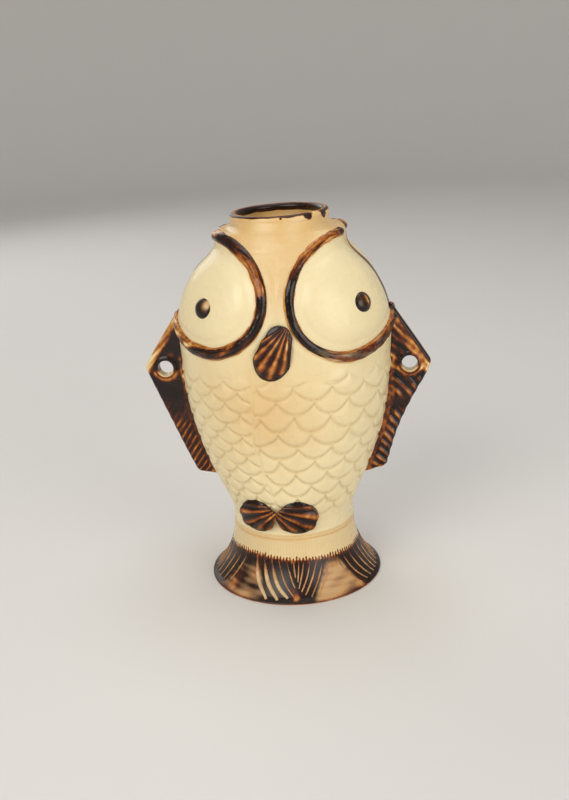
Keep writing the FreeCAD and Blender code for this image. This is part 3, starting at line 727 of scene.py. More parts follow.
def strands_tree():
    """Thin raised strands of clay laid along guide lines, each as thick as its thickness attribute says."""
    tree, entry = new_tree("Laid strands", {"Thickness": 1.0, "Sides": 8})
    guide = add_node(tree, "GeometryNodeMeshToCurve", {"Mesh": entry.outputs["Geometry"]})
    profile = add_node(
        tree, "GeometryNodeCurvePrimitiveCircle", {"Resolution": entry.outputs["Sides"], "Radius": 1.0}
    )
    tube = add_node(tree, "GeometryNodeCurveToMesh", {
        "Curve": guide.outputs[0], "Profile Curve": profile.outputs[0], "Fill Caps": True,
        "Scale": number(tree, "MULTIPLY", stored(tree, "thickness"), entry.outputs["Thickness"]),
    })
    soft = add_node(tree, "GeometryNodeSetShadeSmooth", {"Geometry": tube.outputs[0]})
    return end_tree(tree, entry, soft.outputs[0])


def run_tree(piece, tree, values):
    """Shape a piece with a tree, given values by the tree's input names, and keep the result as its mesh."""
    modifier = piece.modifiers.new(tree.name, "NODES")
    modifier.node_group = tree
    for item in tree.interface.items_tree:
        if item.in_out == "INPUT" and item.name in values:
            modifier[item.identifier] = values[item.name]
    graph = bpy.context.evaluated_depsgraph_get()
    shaped = bpy.data.meshes.new_from_object(
        piece.evaluated_get(graph), preserve_all_data_layers=True, depsgraph=graph
    )
    piece.modifiers.remove(modifier)
    shaped.name = piece.name
    piece.data = shaped
    return piece


TREES = {}
TREE_MAKERS = {"scales": scales_tree, "ribs": ribs_tree, "strands": strands_tree}


def tree_named(name):
    """Make a tree on first use and return it afterwards."""
    if name not in TREES:
        TREES[name] = TREE_MAKERS[name]()
    return TREES[name]


# Materials

def new_material(name):
    """Start a material, and return it with its tree and its shader."""
    material = bpy.data.materials.new(name)
    material.use_nodes = True
    return material, material.node_tree, material.node_tree.nodes["Principled BSDF"]


def noise(tree, place, grain, detail):
    """Return noise over places, with grains of about a size in metres."""
    inputs = {"Vector": place, "Scale": 1 / grain, "Detail": detail}
    return add_node(tree, "ShaderNodeTexNoise", inputs).outputs["Fac"]


def ranged(tree, value, low, high, start=0.0, end=1.0):
    """Return a value that goes from start to end while the given one goes from low to high."""
    inputs = {"Value": value, "From Min": low, "From Max": high, "To Min": start, "To Max": end}
    return add_node(tree, "ShaderNodeMapRange", inputs).outputs[0]


def mixed(tree, share, under, over):
    """Return one colour laid over another by share."""
    return add_node(tree, "ShaderNodeMix", {"Factor": share, 6: under, 7: over}, data_type="RGBA").outputs[2]


def roughen(tree, shader, grain, strength, depth):
    """Raise the grain of a surface by a depth in metres."""
    bump = add_node(tree, "ShaderNodeBump", {"Height": grain, "Strength": strength, "Distance": depth})
    tree.links.new(bump.outputs[0], shader.inputs["Normal"])


def glazed_stoneware(name, gloss, orange_peel):
    """Stoneware under two glazes: smooth cream, and brushed treacle where its attribute says.

    The treacle glaze is nearly black where it lies thick, red-brown where it is thinner, and amber to
    honey where it breaks over ribs and edges. Both are glossy with a faint orange-peel surface.
    """
    colours = bpy.context.scene.fish_vase_colours
    material, tree, shader = new_material(name)
    place = add_node(tree, "ShaderNodeTexCoord").outputs["Object"]
    treacle, relief, pool_and_shade, tan, worn = (
        add_node(tree, "ShaderNodeAttribute", attribute_name=label).outputs["Fac"]
        for label in ("treacle", "relief", "pool_and_shade", "tan", "worn")
    )
    # Brushed glaze gathers in clouds 12 mm across and in streaks 3 mm across
    clouds, streaks = noise(tree, place, 0.012, 3.0), noise(tree, place, 0.003, 2.0)
    wander = number(tree, "MULTIPLY_ADD", number(tree, "ADD", clouds, streaks), 0.32, -0.32)
    # The wander fades out where there is no treacle glaze, so that the cream stays clean, and it is calm
    # on the ribs, so that the light line on each rib runs through
    present = ranged(tree, treacle, 0.05, 0.45)
    calm = number(tree, "MULTIPLY_ADD", relief, -0.8, present, clamp=True)
    thinned = number(tree, "MULTIPLY_ADD", relief, -0.5, treacle)
    over_cream = number(tree, "MINIMUM", treacle, thinned)
    thickness = number(tree, "ADD", over_cream, number(tree, "MULTIPLY", wander, calm), clamp=True)
    ramp = add_node(tree, "ShaderNodeValToRGB", {"Fac": thickness})
    stops = (
        (0.0, colours.cream), (0.1, colours.cream), (0.2, colours.honey), (0.34, colours.amber),
        (0.52, colours.red_brown), (0.7, colours.dark_brown), (1.0, colours.black_green),
    )
    while len(ramp.color_ramp.elements) < len(stops):
        ramp.color_ramp.elements.new(0.5)
    for element, (position, colour) in zip(ramp.color_ramp.elements, stops):
        element.position = position
        element.color = (*colour, 1.0)
    # Cream glaze turns tan where it is thin over the clay, in clouds 30 mm across, and is darker in
    # the grooves under the scales: partly glaze pooling there and partly painted shade
    warmth = number(tree, "MULTIPLY_ADD", noise(tree, place, 0.03, 2.0), 0.5, tan)
    only_cream = ranged(tree, thickness, 0.08, 0.2, 1.0, 0.0)
    tan_share = number(tree, "MULTIPLY", ranged(tree, warmth, 0.2, 1.2), only_cream)
    creamed = mixed(tree, tan_share, ramp.outputs[0], (*colours.tan, 1.0))
    pooled_and_shaded = number(tree, "MULTIPLY", number(tree, "MULTIPLY", pool_and_shade, only_cream), 0.5)
    shaded = mixed(tree, pooled_and_shaded, creamed, (*colours.pooled_and_shaded_cream, 1.0))
    # The worn colour is real wear on the tails, and painted highlights and painted reflections on the eyes and
    # gill ridges
    rubbed_and_highlit = mixed(tree, worn, shaded, (*colours.worn_and_highlit_treacle, 1.0))
    tree.links.new(rubbed_and_highlit, shader.inputs["Base Color"])
    # Its gloss varies a little with its clouds
    tree.links.new(ranged(tree, clouds, 0.3, 0.7, gloss, gloss + 0.1), shader.inputs["Roughness"])
    shader.inputs["IOR"].default_value = 1.52
    shader.inputs["Specular IOR Level"].default_value = 0.34
    # Orange peel 1.6 mm across and 0.03 mm deep
    roughen(tree, shader, noise(tree, place, 0.0016, 2.0), orange_peel, 0.00003)
    return material


def bare_stoneware():
    """Unglazed fired stoneware: a matt, sandy buff with iron specks."""
    colours = bpy.context.scene.fish_vase_colours
    material, tree, shader = new_material("Bare fired stoneware, matt")
    place = add_node(tree, "ShaderNodeTexCoord").outputs["Object"]
    # Sand grains of about half a millimetre, in clouds 15 mm across
    sand = noise(tree, place, 0.0005, 3.0)
    speckled = number(tree, "MULTIPLY", sand, noise(tree, place, 0.015, 3.0))
    colour = mixed(
        tree, ranged(tree, speckled, 0.15, 0.38), (*colours.burnt_clay, 1.0), (*colours.bare_clay, 1.0)
    )
    tree.links.new(colour, shader.inputs["Base Color"])
    shader.inputs["Roughness"].default_value = 0.85
    roughen(tree, shader, sand, 0.6, 0.0001)
    return material


def painted_sweep():
    """The stage's paint: plain, pale and matt."""
    material, _, shader = new_material("Painted studio sweep, matt")
    shader.inputs["Base Color"].default_value = (*bpy.context.scene.fish_vase_colours.floor, 1.0)
    shader.inputs["Roughness"].default_value = 0.9
    return material


GLAZES = {}
GLAZE_MAKERS = {
    "cream": lambda: glazed_stoneware("Cream and treacle glazed stoneware, glossy", 0.24, 0.5),
    "treacle": lambda: glazed_stoneware("Treacle glazed stoneware, brushed, high gloss", 0.13, 0.8),
    "bare": bare_stoneware,
}


def glaze_named(name):
    """Make a material on first use and return it afterwards."""
    if name not in GLAZES:
        GLAZES[name] = GLAZE_MAKERS[name]()
    return GLAZES[name]


def length_property(name, description, default):
    """Describe one length, in millimetres, that a user would change."""
    return FloatProperty(name=name, description=description, default=default * MM, unit="LENGTH")


def count_property(name, description, default):
    """Describe one count of mesh lines that a user would change."""
    return IntProperty(name=name, description=description, default=default, min=40)


class VaseSizes(bpy.types.PropertyGroup):
    """Sizes of the vase's relief that a user would change."""

    scale_height: length_property("Scale height", "How far a scale's free edge stands up", 1.5)
    forehead_hollow: length_property(
        "Forehead hollow", "How far the clay is pressed in between the heads", 5.4
    )
    cheek_dome: length_property("Cheek dome", "How far a cheek swells inside its gill ridge", 2.2)
    flute_height: length_property("Flute height", "Depth of the fine flutes above the tails", 0.12)
    flute_spacing: length_property("Flute spacing", "Distance between the fine flutes", 2.3)
    tail_ray_thickness: length_property("Tail ray thickness", "Half thickness of a raised tail ray", 0.65)
    fin_ray_height: length_property("Fin ray height", "How far the dorsal fins' rays stand up", 0.9)
    fin_ray_spacing: length_property("Fin ray spacing", "Distance between the dorsal fins' rays", 4.6)
    small_rib_height: length_property("Small rib height", "Height of the ribs on the small fins", 1.0)
    grain: length_property("Clay grain", "Mesh spacing of the applied pieces", 0.55)
    shell_columns: count_property("Shell columns", "Mesh columns over half the girth of a fish", 300)
    shell_rows: count_property("Shell rows", "Mesh rows from waist to shoulder", 300)


def colour_property(name, description, code):
    """Describe one colour that a user would change."""
    return FloatVectorProperty(
        name=name, description=description, default=linear(code), size=3, subtype="COLOR", min=0.0, max=1.0,
    )


class VaseColours(bpy.types.PropertyGroup):
    """Colours of the glazes, the clay and the stage."""

    cream: colour_property("Cream", "Cream glaze", "#EEDDAF")
    tan: colour_property("Tan", "Cream glaze where it is thin", "#DEB87C")
    # The pooled cream is glaze pooled in the grooves, and painted shade there too
    pooled_and_shaded_cream: colour_property("Pooled cream", "Cream glaze in grooves", "#B8935A")
    honey: colour_property("Honey", "Treacle glaze at its thinnest", "#D29A4E")
    amber: colour_property("Amber", "Thin treacle glaze", "#A8601F")
    red_brown: colour_property("Red brown", "Treacle glaze", "#5E2A10")
    dark_brown: colour_property("Dark brown", "Thick treacle glaze", "#2D1307")
    black_green: colour_property("Black green", "Thickest treacle glaze", "#0C0905")
    # Also the colour of the painted highlights and painted reflections on the eyes and gill ridges
    worn_and_highlit_treacle: colour_property("Worn treacle", "Treacle glaze rubbed thin and pale", "#C9A373")
    bare_clay: colour_property("Bare clay", "Unglazed stoneware", "#C4A57C")
    burnt_clay: colour_property("Burnt clay", "Iron-rich specks of the stoneware", "#8F6A45")
    floor: colour_property("Floor", "The plain floor", "#E4E1DC")


# What the glaze brush covered

def brush_edges(points, side_lines):
    """Return how much treacle glaze bled on to the body beside the ridges."""
    treacle = np.zeros(len(points))
    for side, line in side_lines.items():
        gap, along = near_line(points, line)[:2]
        edge = gap - RIDGE_RADIUS * ridge_width(along, side) - 0.4 * waver(points, 11, 11 + side)
        bleed = 0.3 * (1 - smooth(-0.6, 0.8, edge))
        if side > 0:
            bleed *= smooth(0.52, 0.44, along)
        treacle = np.maximum(treacle, bleed)
    return treacle


def spot(points, azimuth, height, radius, reach):
    """Return 1 inside a round spot on the surface, fading to 0 at its edge."""
    middle = around(np.array([azimuth]), reach, np.array([height]))[0]
    gap = np.linalg.norm(points - middle, axis=1)
    return 1 - smooth(0.6 * radius, radius, gap)


def on_both_faces(kind):
    """Name the four pieces of a kind, each with the side of its face that it is on."""
    for face in ("front", "back"):
        for fish, side in FISHES:
            yield f"{fish}_{face}_{kind}", side if face == "front" else -side


class VaseOperator:
    """What the operators share: they can be undone."""

    bl_options = {"REGISTER", "UNDO"}


class MakeStage(VaseOperator, bpy.types.Operator):
    """Lay a plain pale floor that sweeps up behind, with soft studio lights and the camera"""

    bl_idname = "fish_vase.make_stage"
    bl_label = "Stage, lights and camera"

    def execute(self, context):
        self.make_floor()
        self.make_lights(context.scene)
        self.make_camera(context.scene)
        return {"FINISHED"}

    def make_floor(self):
        flat, bend_radius, wall_top, sides = 2.4, 0.8, 3.2, 64
        outline = [(share * flat, 0.0) for share in (0.25, 0.5, 1.0)]
        for step in range(1, 13):
            turn = math.pi / 2 * step / 12
            outline.append((flat + bend_radius * math.sin(turn), bend_radius * (1 - math.cos(turn))))
        outline.append((flat + bend_radius, wall_top))
        rows = len(outline)
        points = [
            (reach * math.cos(turn), reach * math.sin(turn), z)
            for turn in (2 * math.pi * side / sides for side in range(sides)) for reach, z in outline
        ]
        faces = [face[::-1] for face in grid_faces(sides, rows, ring=True)]
        faces.append(tuple(side * rows for side in range(sides)))
        mesh = bpy.data.meshes.new("studio_sweep")
        mesh.from_pydata(points, [], faces)
        dress("studio_sweep", mesh, {}, painted_sweep())

    def make_lights(self, scene):
        target = Vector((0, 0, VASE_HEIGHT / 2 * MM))
        for name, place, width, power, tint in SOFTBOXES:
            light = bpy.data.lights.new(name, "AREA")
            light.shape, light.size, light.energy, light.color = "SQUARE", width, power, tint
            lamp = bpy.data.objects.new(name, light)
            lamp.location = place
            lamp.rotation_euler = (target - Vector(place)).to_track_quat("-Z", "Y").to_euler()
            scene.collection.objects.link(lamp)
        world = bpy.data.worlds.new("studio")
        world.use_nodes = True
        backing = world.node_tree.nodes["Background"]
        backing.inputs["Color"].default_value = (0.92, 0.94, 1.0, 1.0)
        backing.inputs["Strength"].default_value = 0.35
        scene.world = world
        scene.view_settings.view_transform = "Standard"

    def make_camera(self, scene):
        data = bpy.data.cameras.new("camera")
        data.sensor_width, data.lens = 36.0, CAMERA_LENS
        data.clip_start, data.clip_end = 0.05, 20.0
        forward = Vector(CAMERA_WAY).normalized()
        right = forward.cross(Vector((0, 0, 1))).normalized()
        up = right.cross(forward)
        roll = math.radians(CAMERA_ROLL)
        across = math.cos(roll) * right + math.sin(roll) * up
        upward = -math.sin(roll) * right + math.cos(roll) * up
        turn = Matrix((across, upward, -forward)).transposed().to_4x4()
        camera = bpy.data.objects.new("camera", data)
        camera.matrix_world = Matrix.Translation(CAMERA_PLACE) @ turn
        scene.collection.objects.link(camera)
        scene.camera = camera


def gill_lines():
    """Return the gill ridges' centre lines on the skin of the front, by side."""
    return {side: on_skin(*gill_places(side)) for side in (1, -1)}


def ridge_width(along, side):
    """Return how wide a rolled gill ridge is along its line, as a share of the full roll."""
    if side > 0:
        return 0.62 + 0.16 * smooth(0.2, 0.34, along) + 0.22 * smooth(0.5, 0.66, along)
    return 0.86 + 0.14 * smooth(0.4, 0.56, along)


def inside_cheek(azimuth, height, side):
    """Return which places lie within the gill line of one side of the front."""
    line_azimuth, line_height = gill_places(side)
    inside = np.zeros(len(azimuth), bool)
    x, y = side * line_azimuth, line_height
    place = side * azimuth
    for i in range(len(x)):
        j = (i + 1) % len(x)
        crosses = (y[i] > height) != (y[j] > height)
        span = np.where(y[j] == y[i], 1e-9, y[j] - y[i])
        inside ^= crosses & (place < (x[j] - x[i]) * (height - y[i]) / span + x[i])
    return inside


class MakeFishBodies(VaseOperator, bpy.types.Operator):
    """Press the two fish: scaled shells with swelling cheeks, cream glazed"""

    bl_idname = "fish_vase.make_fish_bodies"
    bl_label = "Fish bodies"

    def execute(self, context):
        for fish, side in FISHES:
            self.make_fish(context.scene.fish_vase_sizes, fish, side)
        return {"FINISHED"}

    def make_fish(self, sizes, fish, side):
        columns, rows = sizes.shell_columns, sizes.shell_rows
        levels = np.linspace(WAIST_HEIGHT, SHOULDER_HEIGHT, rows)
        levels[1], levels[-2] = levels[0] + THIN_ROW, levels[-1] - THIN_ROW
        azimuth, height, points = skin_grid(side, columns, levels)
        front, front_azimuth = as_front(points), front_azimuth_of(azimuth)
        aside = np.abs(front_azimuth)
        lines = gill_lines()
        ways = grid_outward(points, columns, rows) * side
        ends = np.minimum(smooth(0, 3, height - WAIST_HEIGHT), smooth(0, 3, SHOULDER_HEIGHT - height))

        swell = np.zeros(len(points))
        cheek = np.zeros(len(points), bool)
        gaps = {}
        for cheek_side, line in lines.items():
            gap = gaps[cheek_side] = near_line(front, line)[0]
            within = inside_cheek(front_azimuth, height, cheek_side) & (front_azimuth * cheek_side > 0)
            cheek |= within
            dome = smooth(RIDGE_RADIUS - 1, RIDGE_RADIUS + 14, gap) * smooth(88, 62, aside)
            dip = 0.3 * hump(gap, RIDGE_RADIUS + 4.5, 1.8)
            roll = 0.6 * hump(gap, RIDGE_RADIUS + 3.4, 1.7) * band(height, 186, 196, 240, 252)
            roll *= smooth(48, 30, aside)
            swell = np.where(within, sizes.cheek_dome / MM * dome - dip, swell + roll * ~within)
        seam_azimuths, seam_heights = zip(*reversed(SEAM_LINE))
        seam = np.interp(height, seam_heights, seam_azimuths)
        from_seam = (front_azimuth - seam) * np.pi / 180 * np.linalg.norm(points[:, :2], axis=1)
        swell += 0.5 * hump(from_seam, 0, 0.9) * band(height, 50, 66, 170, 192)
        swell += sum(turning_line(height, line) for line in WAIST_LINES)
        swell += turning_line(height, FOREHEAD_RING) * ~cheek
        swell += 0.22 * waver(points, 55, 5) * ends + 0.05 * waver(points, 9, 6) * ends
        points = press_forehead(points + ways * (swell * ends)[:, None], sizes.forehead_hollow / MM)

        girth, level = self.scale_places(front, front_azimuth, height, seam)
        fade = smooth(174, 166, height + 3 * waver(front, 26, 23)) * smooth(54, 70, height)
        fade *= smooth(RIDGE_RADIUS, RIDGE_RADIUS + 5, np.minimum(gaps[1], gaps[-1])) * ~cheek
        fade *= smooth(0.3, 1.6, np.abs(from_seam)) * smooth(1.0, 5.0, np.abs(points[:, 1]))
        treacle = np.maximum(brush_edges(front, lines), self.brush_back_line(front, height))
        attributes = {
            "outward": ways, "girth": girth, "level": level, "fade": fade, "treacle": treacle,
            "tan": self.tan_share(front_azimuth, height, cheek),
        }

        # The plain inside joins the outside at its rims
        outer, inner_columns, inner_rows = len(points), 46, 40
        inner_levels = np.linspace(WAIST_HEIGHT, SHOULDER_HEIGHT, inner_rows)
        inner = skin_grid(side, inner_columns, inner_levels, WALL)[2]
        inner = press_forehead(inner, sizes.forehead_hollow / MM)
        faces = grid_faces(columns, rows)
        faces += [face[::-1] for face in grid_faces(inner_columns, inner_rows, outer)]
        rim, inner_rim = grid_border(columns, rows, 0), grid_border(inner_columns, inner_rows, outer)
        faces += bridge(rim, inner_rim)
        piece = new_piece(f"{fish}_fish_body", np.concatenate([points, inner]), faces, {
            label: np.concatenate([values, np.zeros((len(inner), *values.shape[1:]))])
            for label, values in attributes.items()
        })
        crease_rims(piece.data, rim[0], inner_rim[0])
        run_tree(piece, tree_named("scales"), {
            "Scale height": sizes.scale_height, "Overlap": OVERLAP, "Material": glaze_named("cream"),
        })
        settle(piece, "cream_glaze", f"{fish}_fish_shell")

    @staticmethod
    def scale_places(front, azimuth, height, seam):
        """Return how many scales round and how many rows down each point lies, by the fish it is on."""
        turned = azimuth + 0.9 * waver(front, 30, 21)
        lifted = height + 0.5 * waver(front, 24, 22)
        girth, level = np.zeros(len(front)), np.zeros(len(front))
        for scale_side, (middle, spacing, heights) in SCALES.items():
            here = (azimuth > seam) if scale_side > 0 else (azimuth <= seam)
            girth = np.where(here, (turned - middle) / spacing, girth)
            row = np.interp(-lifted, [-z for z in heights], np.arange(len(heights)) + 1 + OVERLAP)
            level = np.where(here, row, level)
        return girth, level

    @staticmethod
    def brush_back_line(front, height):
        """The brown line along each fish's back, from snout to fin, and beside the fin."""
        gap = np.abs(front[:, 1])
        wider = np.where(front[:, 0] > 0, 2.4 * smooth(236, 212, height), 0.0)
        above = (5.6 + wider + 0.5 * waver(front, 14, 31)) * (0.35 + 0.65 * smooth(262, 236, height))
        line = (0.62 + 0.12 * waver(front, 9, 33)) * (1 - smooth(above - 0.7, above + 0.7, gap))
        line *= smooth(204, 210, height)
        beside = FIN_THICKNESS / 2 + 1.0 + 0.6 * waver(front, 8, 32)
        root = 0.6 * (1 - smooth(beside - 0.8, beside + 1.0, gap))
        root *= band(height, FIN_BOTTOM_HEIGHT - 2, FIN_BOTTOM_HEIGHT, FIN_TOP_HEIGHT, FIN_TOP_HEIGHT + 3)
        return np.maximum(line, root)

    @staticmethod
    def tan_share(azimuth, height, cheek):
        """Where the cream glaze is thin: forehead, belly middle and waist, and least on the cheeks."""
        forehead = smooth(205, 240, height) * 0.72
        belly = 0.75 * hump(azimuth, -8, 34) * hump(height, 150, 34)
        waist = 1.1 * hump(height, 45.8, 1.1)
        return np.where(cheek, -0.15, np.maximum(np.maximum(forehead, belly), waist))


class MakeNeckCollar(VaseOperator, bpy.types.Operator):
    """Turn the neck collar with its brown brushed lip"""

    bl_idname = "fish_vase.make_neck_collar"
    bl_label = "Neck collar"

    def execute(self, context):
        outer, lip, inner = collar_profile(14)
        straight = np.linspace(outer[-1], lip[0], 9)[1:-1]
        inside = np.linspace(lip[-1], inner[0], 9)[1:-1]
        floor = np.linspace(inner[-1], outer[0], 5)[1:-1]
        outer = np.insert(outer, 1, outer[0] + (0, THIN_ROW), axis=0)
        profile = np.concatenate([outer, straight, lip, inside, inner, floor])
        columns, rows = 288, len(profile)
        azimuth, reach, height, points = turned_grid(np.arange(columns) * 360 / columns, profile)
        row, lip_row = np.tile(np.arange(rows), columns), len(outer) + len(straight)
        outside = row < lip_row
        # On the collar's flat shoulder the reach isn't told by the height, so the outside gives its own
        skin = np.where(outside, reach, collar_reach(height))
        points = press_forehead(points, context.scene.fish_vase_sizes.forehead_hollow / MM, skin)
        ways = grid_outward(points, columns, rows, ring=True)
        joint = SHOULDER_HEIGHT + 0.5
        swell = 0.2 * waver(points, 38, 41) * smooth(joint, SHOULDER_HEIGHT + 6, height)
        swell += turning_line(height, NECK_GROOVE)
        fold = around(np.array([-52.0, -30.0]), COLLAR_RADIUS, np.array([275.5, 268.0]))
        swell += 0.45 * hump(near_line(points, fold)[0], 0, 1.6)
        points = points + ways * np.where(outside, swell, 0.12 * waver(points, 30, 42))[:, None]
        # The hand-made mouth leans: its left edge is a little lower
        lean = 1.6 * (1 - np.clip(points[:, 0] / COLLAR_RADIUS, -1, 1)) / 2
        points[:, 2] -= lean * smooth(joint, FOREHEAD_TOP, height)

        lip_middle = np.array([COLLAR_RADIUS - WALL / 2, VASE_HEIGHT - LIP_RADIUS])
        turn = np.degrees(np.arctan2(height - lip_middle[1], reach - lip_middle[0]))
        turn = np.where(turn < -60, turn + 360, turn)
        wander = waver(points, 14, 43)
        on_lip = (row >= lip_row - 2) & (row < lip_row + len(lip) + 3)
        worn = hump(front_azimuth_of(azimuth), 52, 9) * smooth(110, 60, turn)
        outer_band = smooth(22, 44, turn + 8 * wander) * (1 - worn)
        crest = hump(turn, 92, 24)
        inner_band = 1 - smooth(212, 240, turn + 10 * wander)
        treacle = on_lip * outer_band * inner_band * (0.8 + 0.06 * wander - (0.55 + 0.14 * wander) * crest)
        for spot_azimuth, spot_height, radius in LIP_SPOTS:
            edge = spot(points, spot_azimuth, spot_height, radius * (1 + 0.12 * wander), COLLAR_RADIUS)
            treacle = np.maximum(treacle, 0.75 * edge * (outside | on_lip))
        attributes = {"treacle": treacle, "tan": 0.82 + 0.22 * waver(points, 30, 44)}
        faces = grid_faces(columns, rows, ring=True, closed=True)
        piece = new_piece("neck", points, faces, attributes, glaze_named("cream"))
        starts = np.arange(columns) * rows
        crease_rims(piece.data, starts, starts + rows - len(floor) - 1)
        settle(piece, "cream_glaze", "neck_collar")
        return {"FINISHED"}


class MakeTailFeet(VaseOperator, bpy.types.Operator):
    """Turn the two tails that make the foot: fluted under the waist, with raised rays in treacle glaze"""

    bl_idname = "fish_vase.make_tail_feet"
    bl_label = "Tail feet and their rays"

    def execute(self, context):
        sizes = context.scene.fish_vase_sizes
        for fish, side in FISHES:
            self.make_tail(sizes, fish, side)
            self.make_rays(sizes, fish, side)
        return {"FINISHED"}

    def make_tail(self, sizes, fish, side):
        columns = 361
        outer = foot_arc(84)
        toe = np.linspace(outer[-1], (FOOT_RADIUS, FOOT_EDGE_HEIGHT), 6)[1:]
        rest = np.array([
            (FOOT_RADIUS, 0.6), (FOOT_RADIUS - 0.5, 0.0), (TOE_INSIDE, 0.0), (RING_INSIDE, 0.0),
            (RING_INSIDE, LEDGE_HEIGHT), (RING_INSIDE, FLOOR_TOP),
        ])
        inner = foot_arc(14, WALL, FLOOR_TOP)[::-1]
        profile = np.concatenate([outer, toe, rest, inner])
        rows = len(profile)
        azimuth, reach, height, points = turned_grid(np.linspace(0, side * 180, columns), profile)
        is_shown = np.tile(np.arange(rows) < len(outer) + len(toe), columns)
        ways = grid_outward(points, columns, rows) * -side
        front, front_azimuth = as_front(points), front_azimuth_of(azimuth)
        line = np.interp(front_azimuth, *zip(*GLAZE_LINE))
        phase = azimuth * math.pi / 180 * WAIST_RADIUS / (sizes.flute_spacing / MM)
        treacle, worn = self.tail_glaze(front, front_azimuth, height, line, np.abs(2 * (phase % 1) - 1))
        # Turned under, and inside, only the edge has caught some glaze
        treacle = np.where(is_shown, np.clip(treacle, 0, 1), np.where(reach > TOE_INSIDE - 2, 0.3, 0.0))
        fade = smooth(-0.5, 3.0, height - line) * smooth(1.2, 3.5, WAIST_HEIGHT - height)
        fade = np.where(is_shown, 0.22 * fade + band(height - line, -2.5, -0.5, -0.5, 1.0), 0)
        points = points + ways * (turning_line(height, FOOT_GROOVE) * is_shown)[:, None]
        last = (columns - 1) * rows
        faces = grid_faces(columns, rows, closed=True)
        faces += [tuple(range(rows - 1, -1, -1)), tuple(range(last, last + rows))]
        piece = new_piece(f"{fish}_tail", points, faces, {
            "outward": np.where(is_shown[:, None], ways, 0), "phase": phase, "fade": fade,
            "treacle": treacle, "worn": np.where(is_shown, worn, 0),
            "tan": 0.42 + 0.9 * hump(height, 43.4, 0.9),
        })
        crease_rims(piece.data, [*range(rows), *range(last, last + rows)])
        run_tree(piece, tree_named("ribs"), {
            "Rib height": sizes.flute_height, "Rib sharpness": 1.0, "Material": glaze_named("cream"),
        })
        settle(piece, "tail_glaze", f"{fish}_tail_foot")

    def tail_glaze(self, front, azimuth, height, line, teeth):
        """Return the treacle glaze of a tail and where it is worn, under a glaze line that the flutes notch."""
        aside = np.abs(azimuth)
        uneven = 1 + 0.5 * waver(front, 5, 56)
        over = line + 1.6 * (teeth - 0.5) * uneven + 0.5 * waver(front, 6, 51) - height
        dark = smooth(-0.5, 0.3, over)
        glow = (1 - smooth(0.8, 4.5, over)) * smooth(0.2, 1.0, over) * (0.75 - 0.5 * teeth)
        treacle = dark * (0.76 - 0.5 * glow + 0.06 * waver(front, 12, 54))
        middle = hump(azimuth, -2, 24) * smooth(27, 21, height)
        treacle += 0.12 * middle + 0.14 * dark * smooth(56, 70, aside)
        # Brush strokes thin the panels between the rays, most on the right
        panels = self.panel_share(azimuth, height)
        sweep = azimuth * 0.75 + aside * height * 0.012
        brushed = waver(np.stack([sweep / 7, height * 0.8, front[:, 2] * 0], axis=-1), 4.0, 52)
        right = azimuth > 0
        treacle -= panels * np.where(right, 0.4 + 0.12 * brushed, 0.18 + 0.14 * brushed)
        right_bright = 0.66 - 0.3 * smooth(40, 58, azimuth)
        left_bright = 0.08 + 0.24 * smooth(-48, -30, azimuth)
        bright = np.where(right, right_bright, left_bright) + 0.3 * brushed + 0.12 * waver(front, 20, 55)
        worn = panels * np.clip(bright, 0, 1) * smooth(0.8, 3.0, height)
        # The rays of the middle meet in a light knot
        knot = spot(front, 3.6, 6.0, 7.0, foot_reach(6.0))
        knot *= smooth(4.5, 1.5, np.abs(azimuth - 3.6 - brushed))
        treacle -= (0.46 + 0.1 * brushed) * knot
        return blend(treacle, 0.74 + 0.12 * waver(front, 10, 53), 1 - smooth(0.5, 2.2, height)), worn

    @staticmethod
    def panel_share(azimuth, height):
        """The smooth brown panels between the two bundles of rays of each tail."""
        fall = (31 - height) / 28
        panels = 0
        for low, high in ((-42 - 16 * fall, -32 + 13 * fall), (36 - 18 * fall, 41 + 15 * fall)):
            panels = np.maximum(panels, band(azimuth, low - 2, low + 2, high - 2, high + 2))
        return panels * smooth(27, 17, height)

    def make_rays(self, sizes, fish, side):
        """Lay the rays of one tail, front and back, along the foot's surface."""
        points, edges, thickness, glaze, pale = [], [], [], [], []
        for ray in TAIL_RAYS:
            steps = np.arange(len(ray))
            at = np.linspace(0, steps[-1], 14)
            azimuth, height = (spline_through(steps, values)(at) for values in np.array(ray).T)
            turn = 0 if azimuth.mean() * side > 0 else 180
            start = len(points)
            points.extend(around(azimuth + turn, foot_reach(height) - 0.15, height))
            edges.extend((start + k, start + k + 1) for k in range(len(at) - 1))
            share = at / at[-1]
            # The three boldest rays fan out left of the middle, pale where the glaze runs off them
            bold = float(smooth(11, 6, abs(ray[0][0] + 24.5)))
            swelling = (0.25 + 0.75 * smooth(0, 0.55, share)) * (1 - 0.45 * smooth(0.8, 1.0, share))
            thickness.extend(0.5 + (0.5 + 1.6 * bold) * swelling)
            glaze.extend(0.52 - (0.16 + 0.3 * bold) * smooth(0.1, 0.5, share))
            pale.extend((0.45 + 0.15 * bold) * smooth(0.1, 0.45, share))
        points = np.array(points)
        mesh = bpy.data.meshes.new(f"{fish}_tail_rays")
        mesh.from_pydata((points * MM).tolist(), edges, [])
        piece = dress(mesh.name, mesh, {
            "thickness": thickness,
            "treacle": np.clip(np.array(glaze) + 0.09 * waver(points, 9, 61), 0, 1),
            "worn": np.clip(np.array(pale) * (1 + 0.35 * waver(points, 7, 62)), 0, 1),
            "tan": np.full(len(points), 0.5),
        })
        run_tree(piece, tree_named("strands"), {
            "Thickness": sizes.tail_ray_thickness, "Sides": 8, "Material": glaze_named("treacle"),
        })
        settle(piece, "tail_glaze")


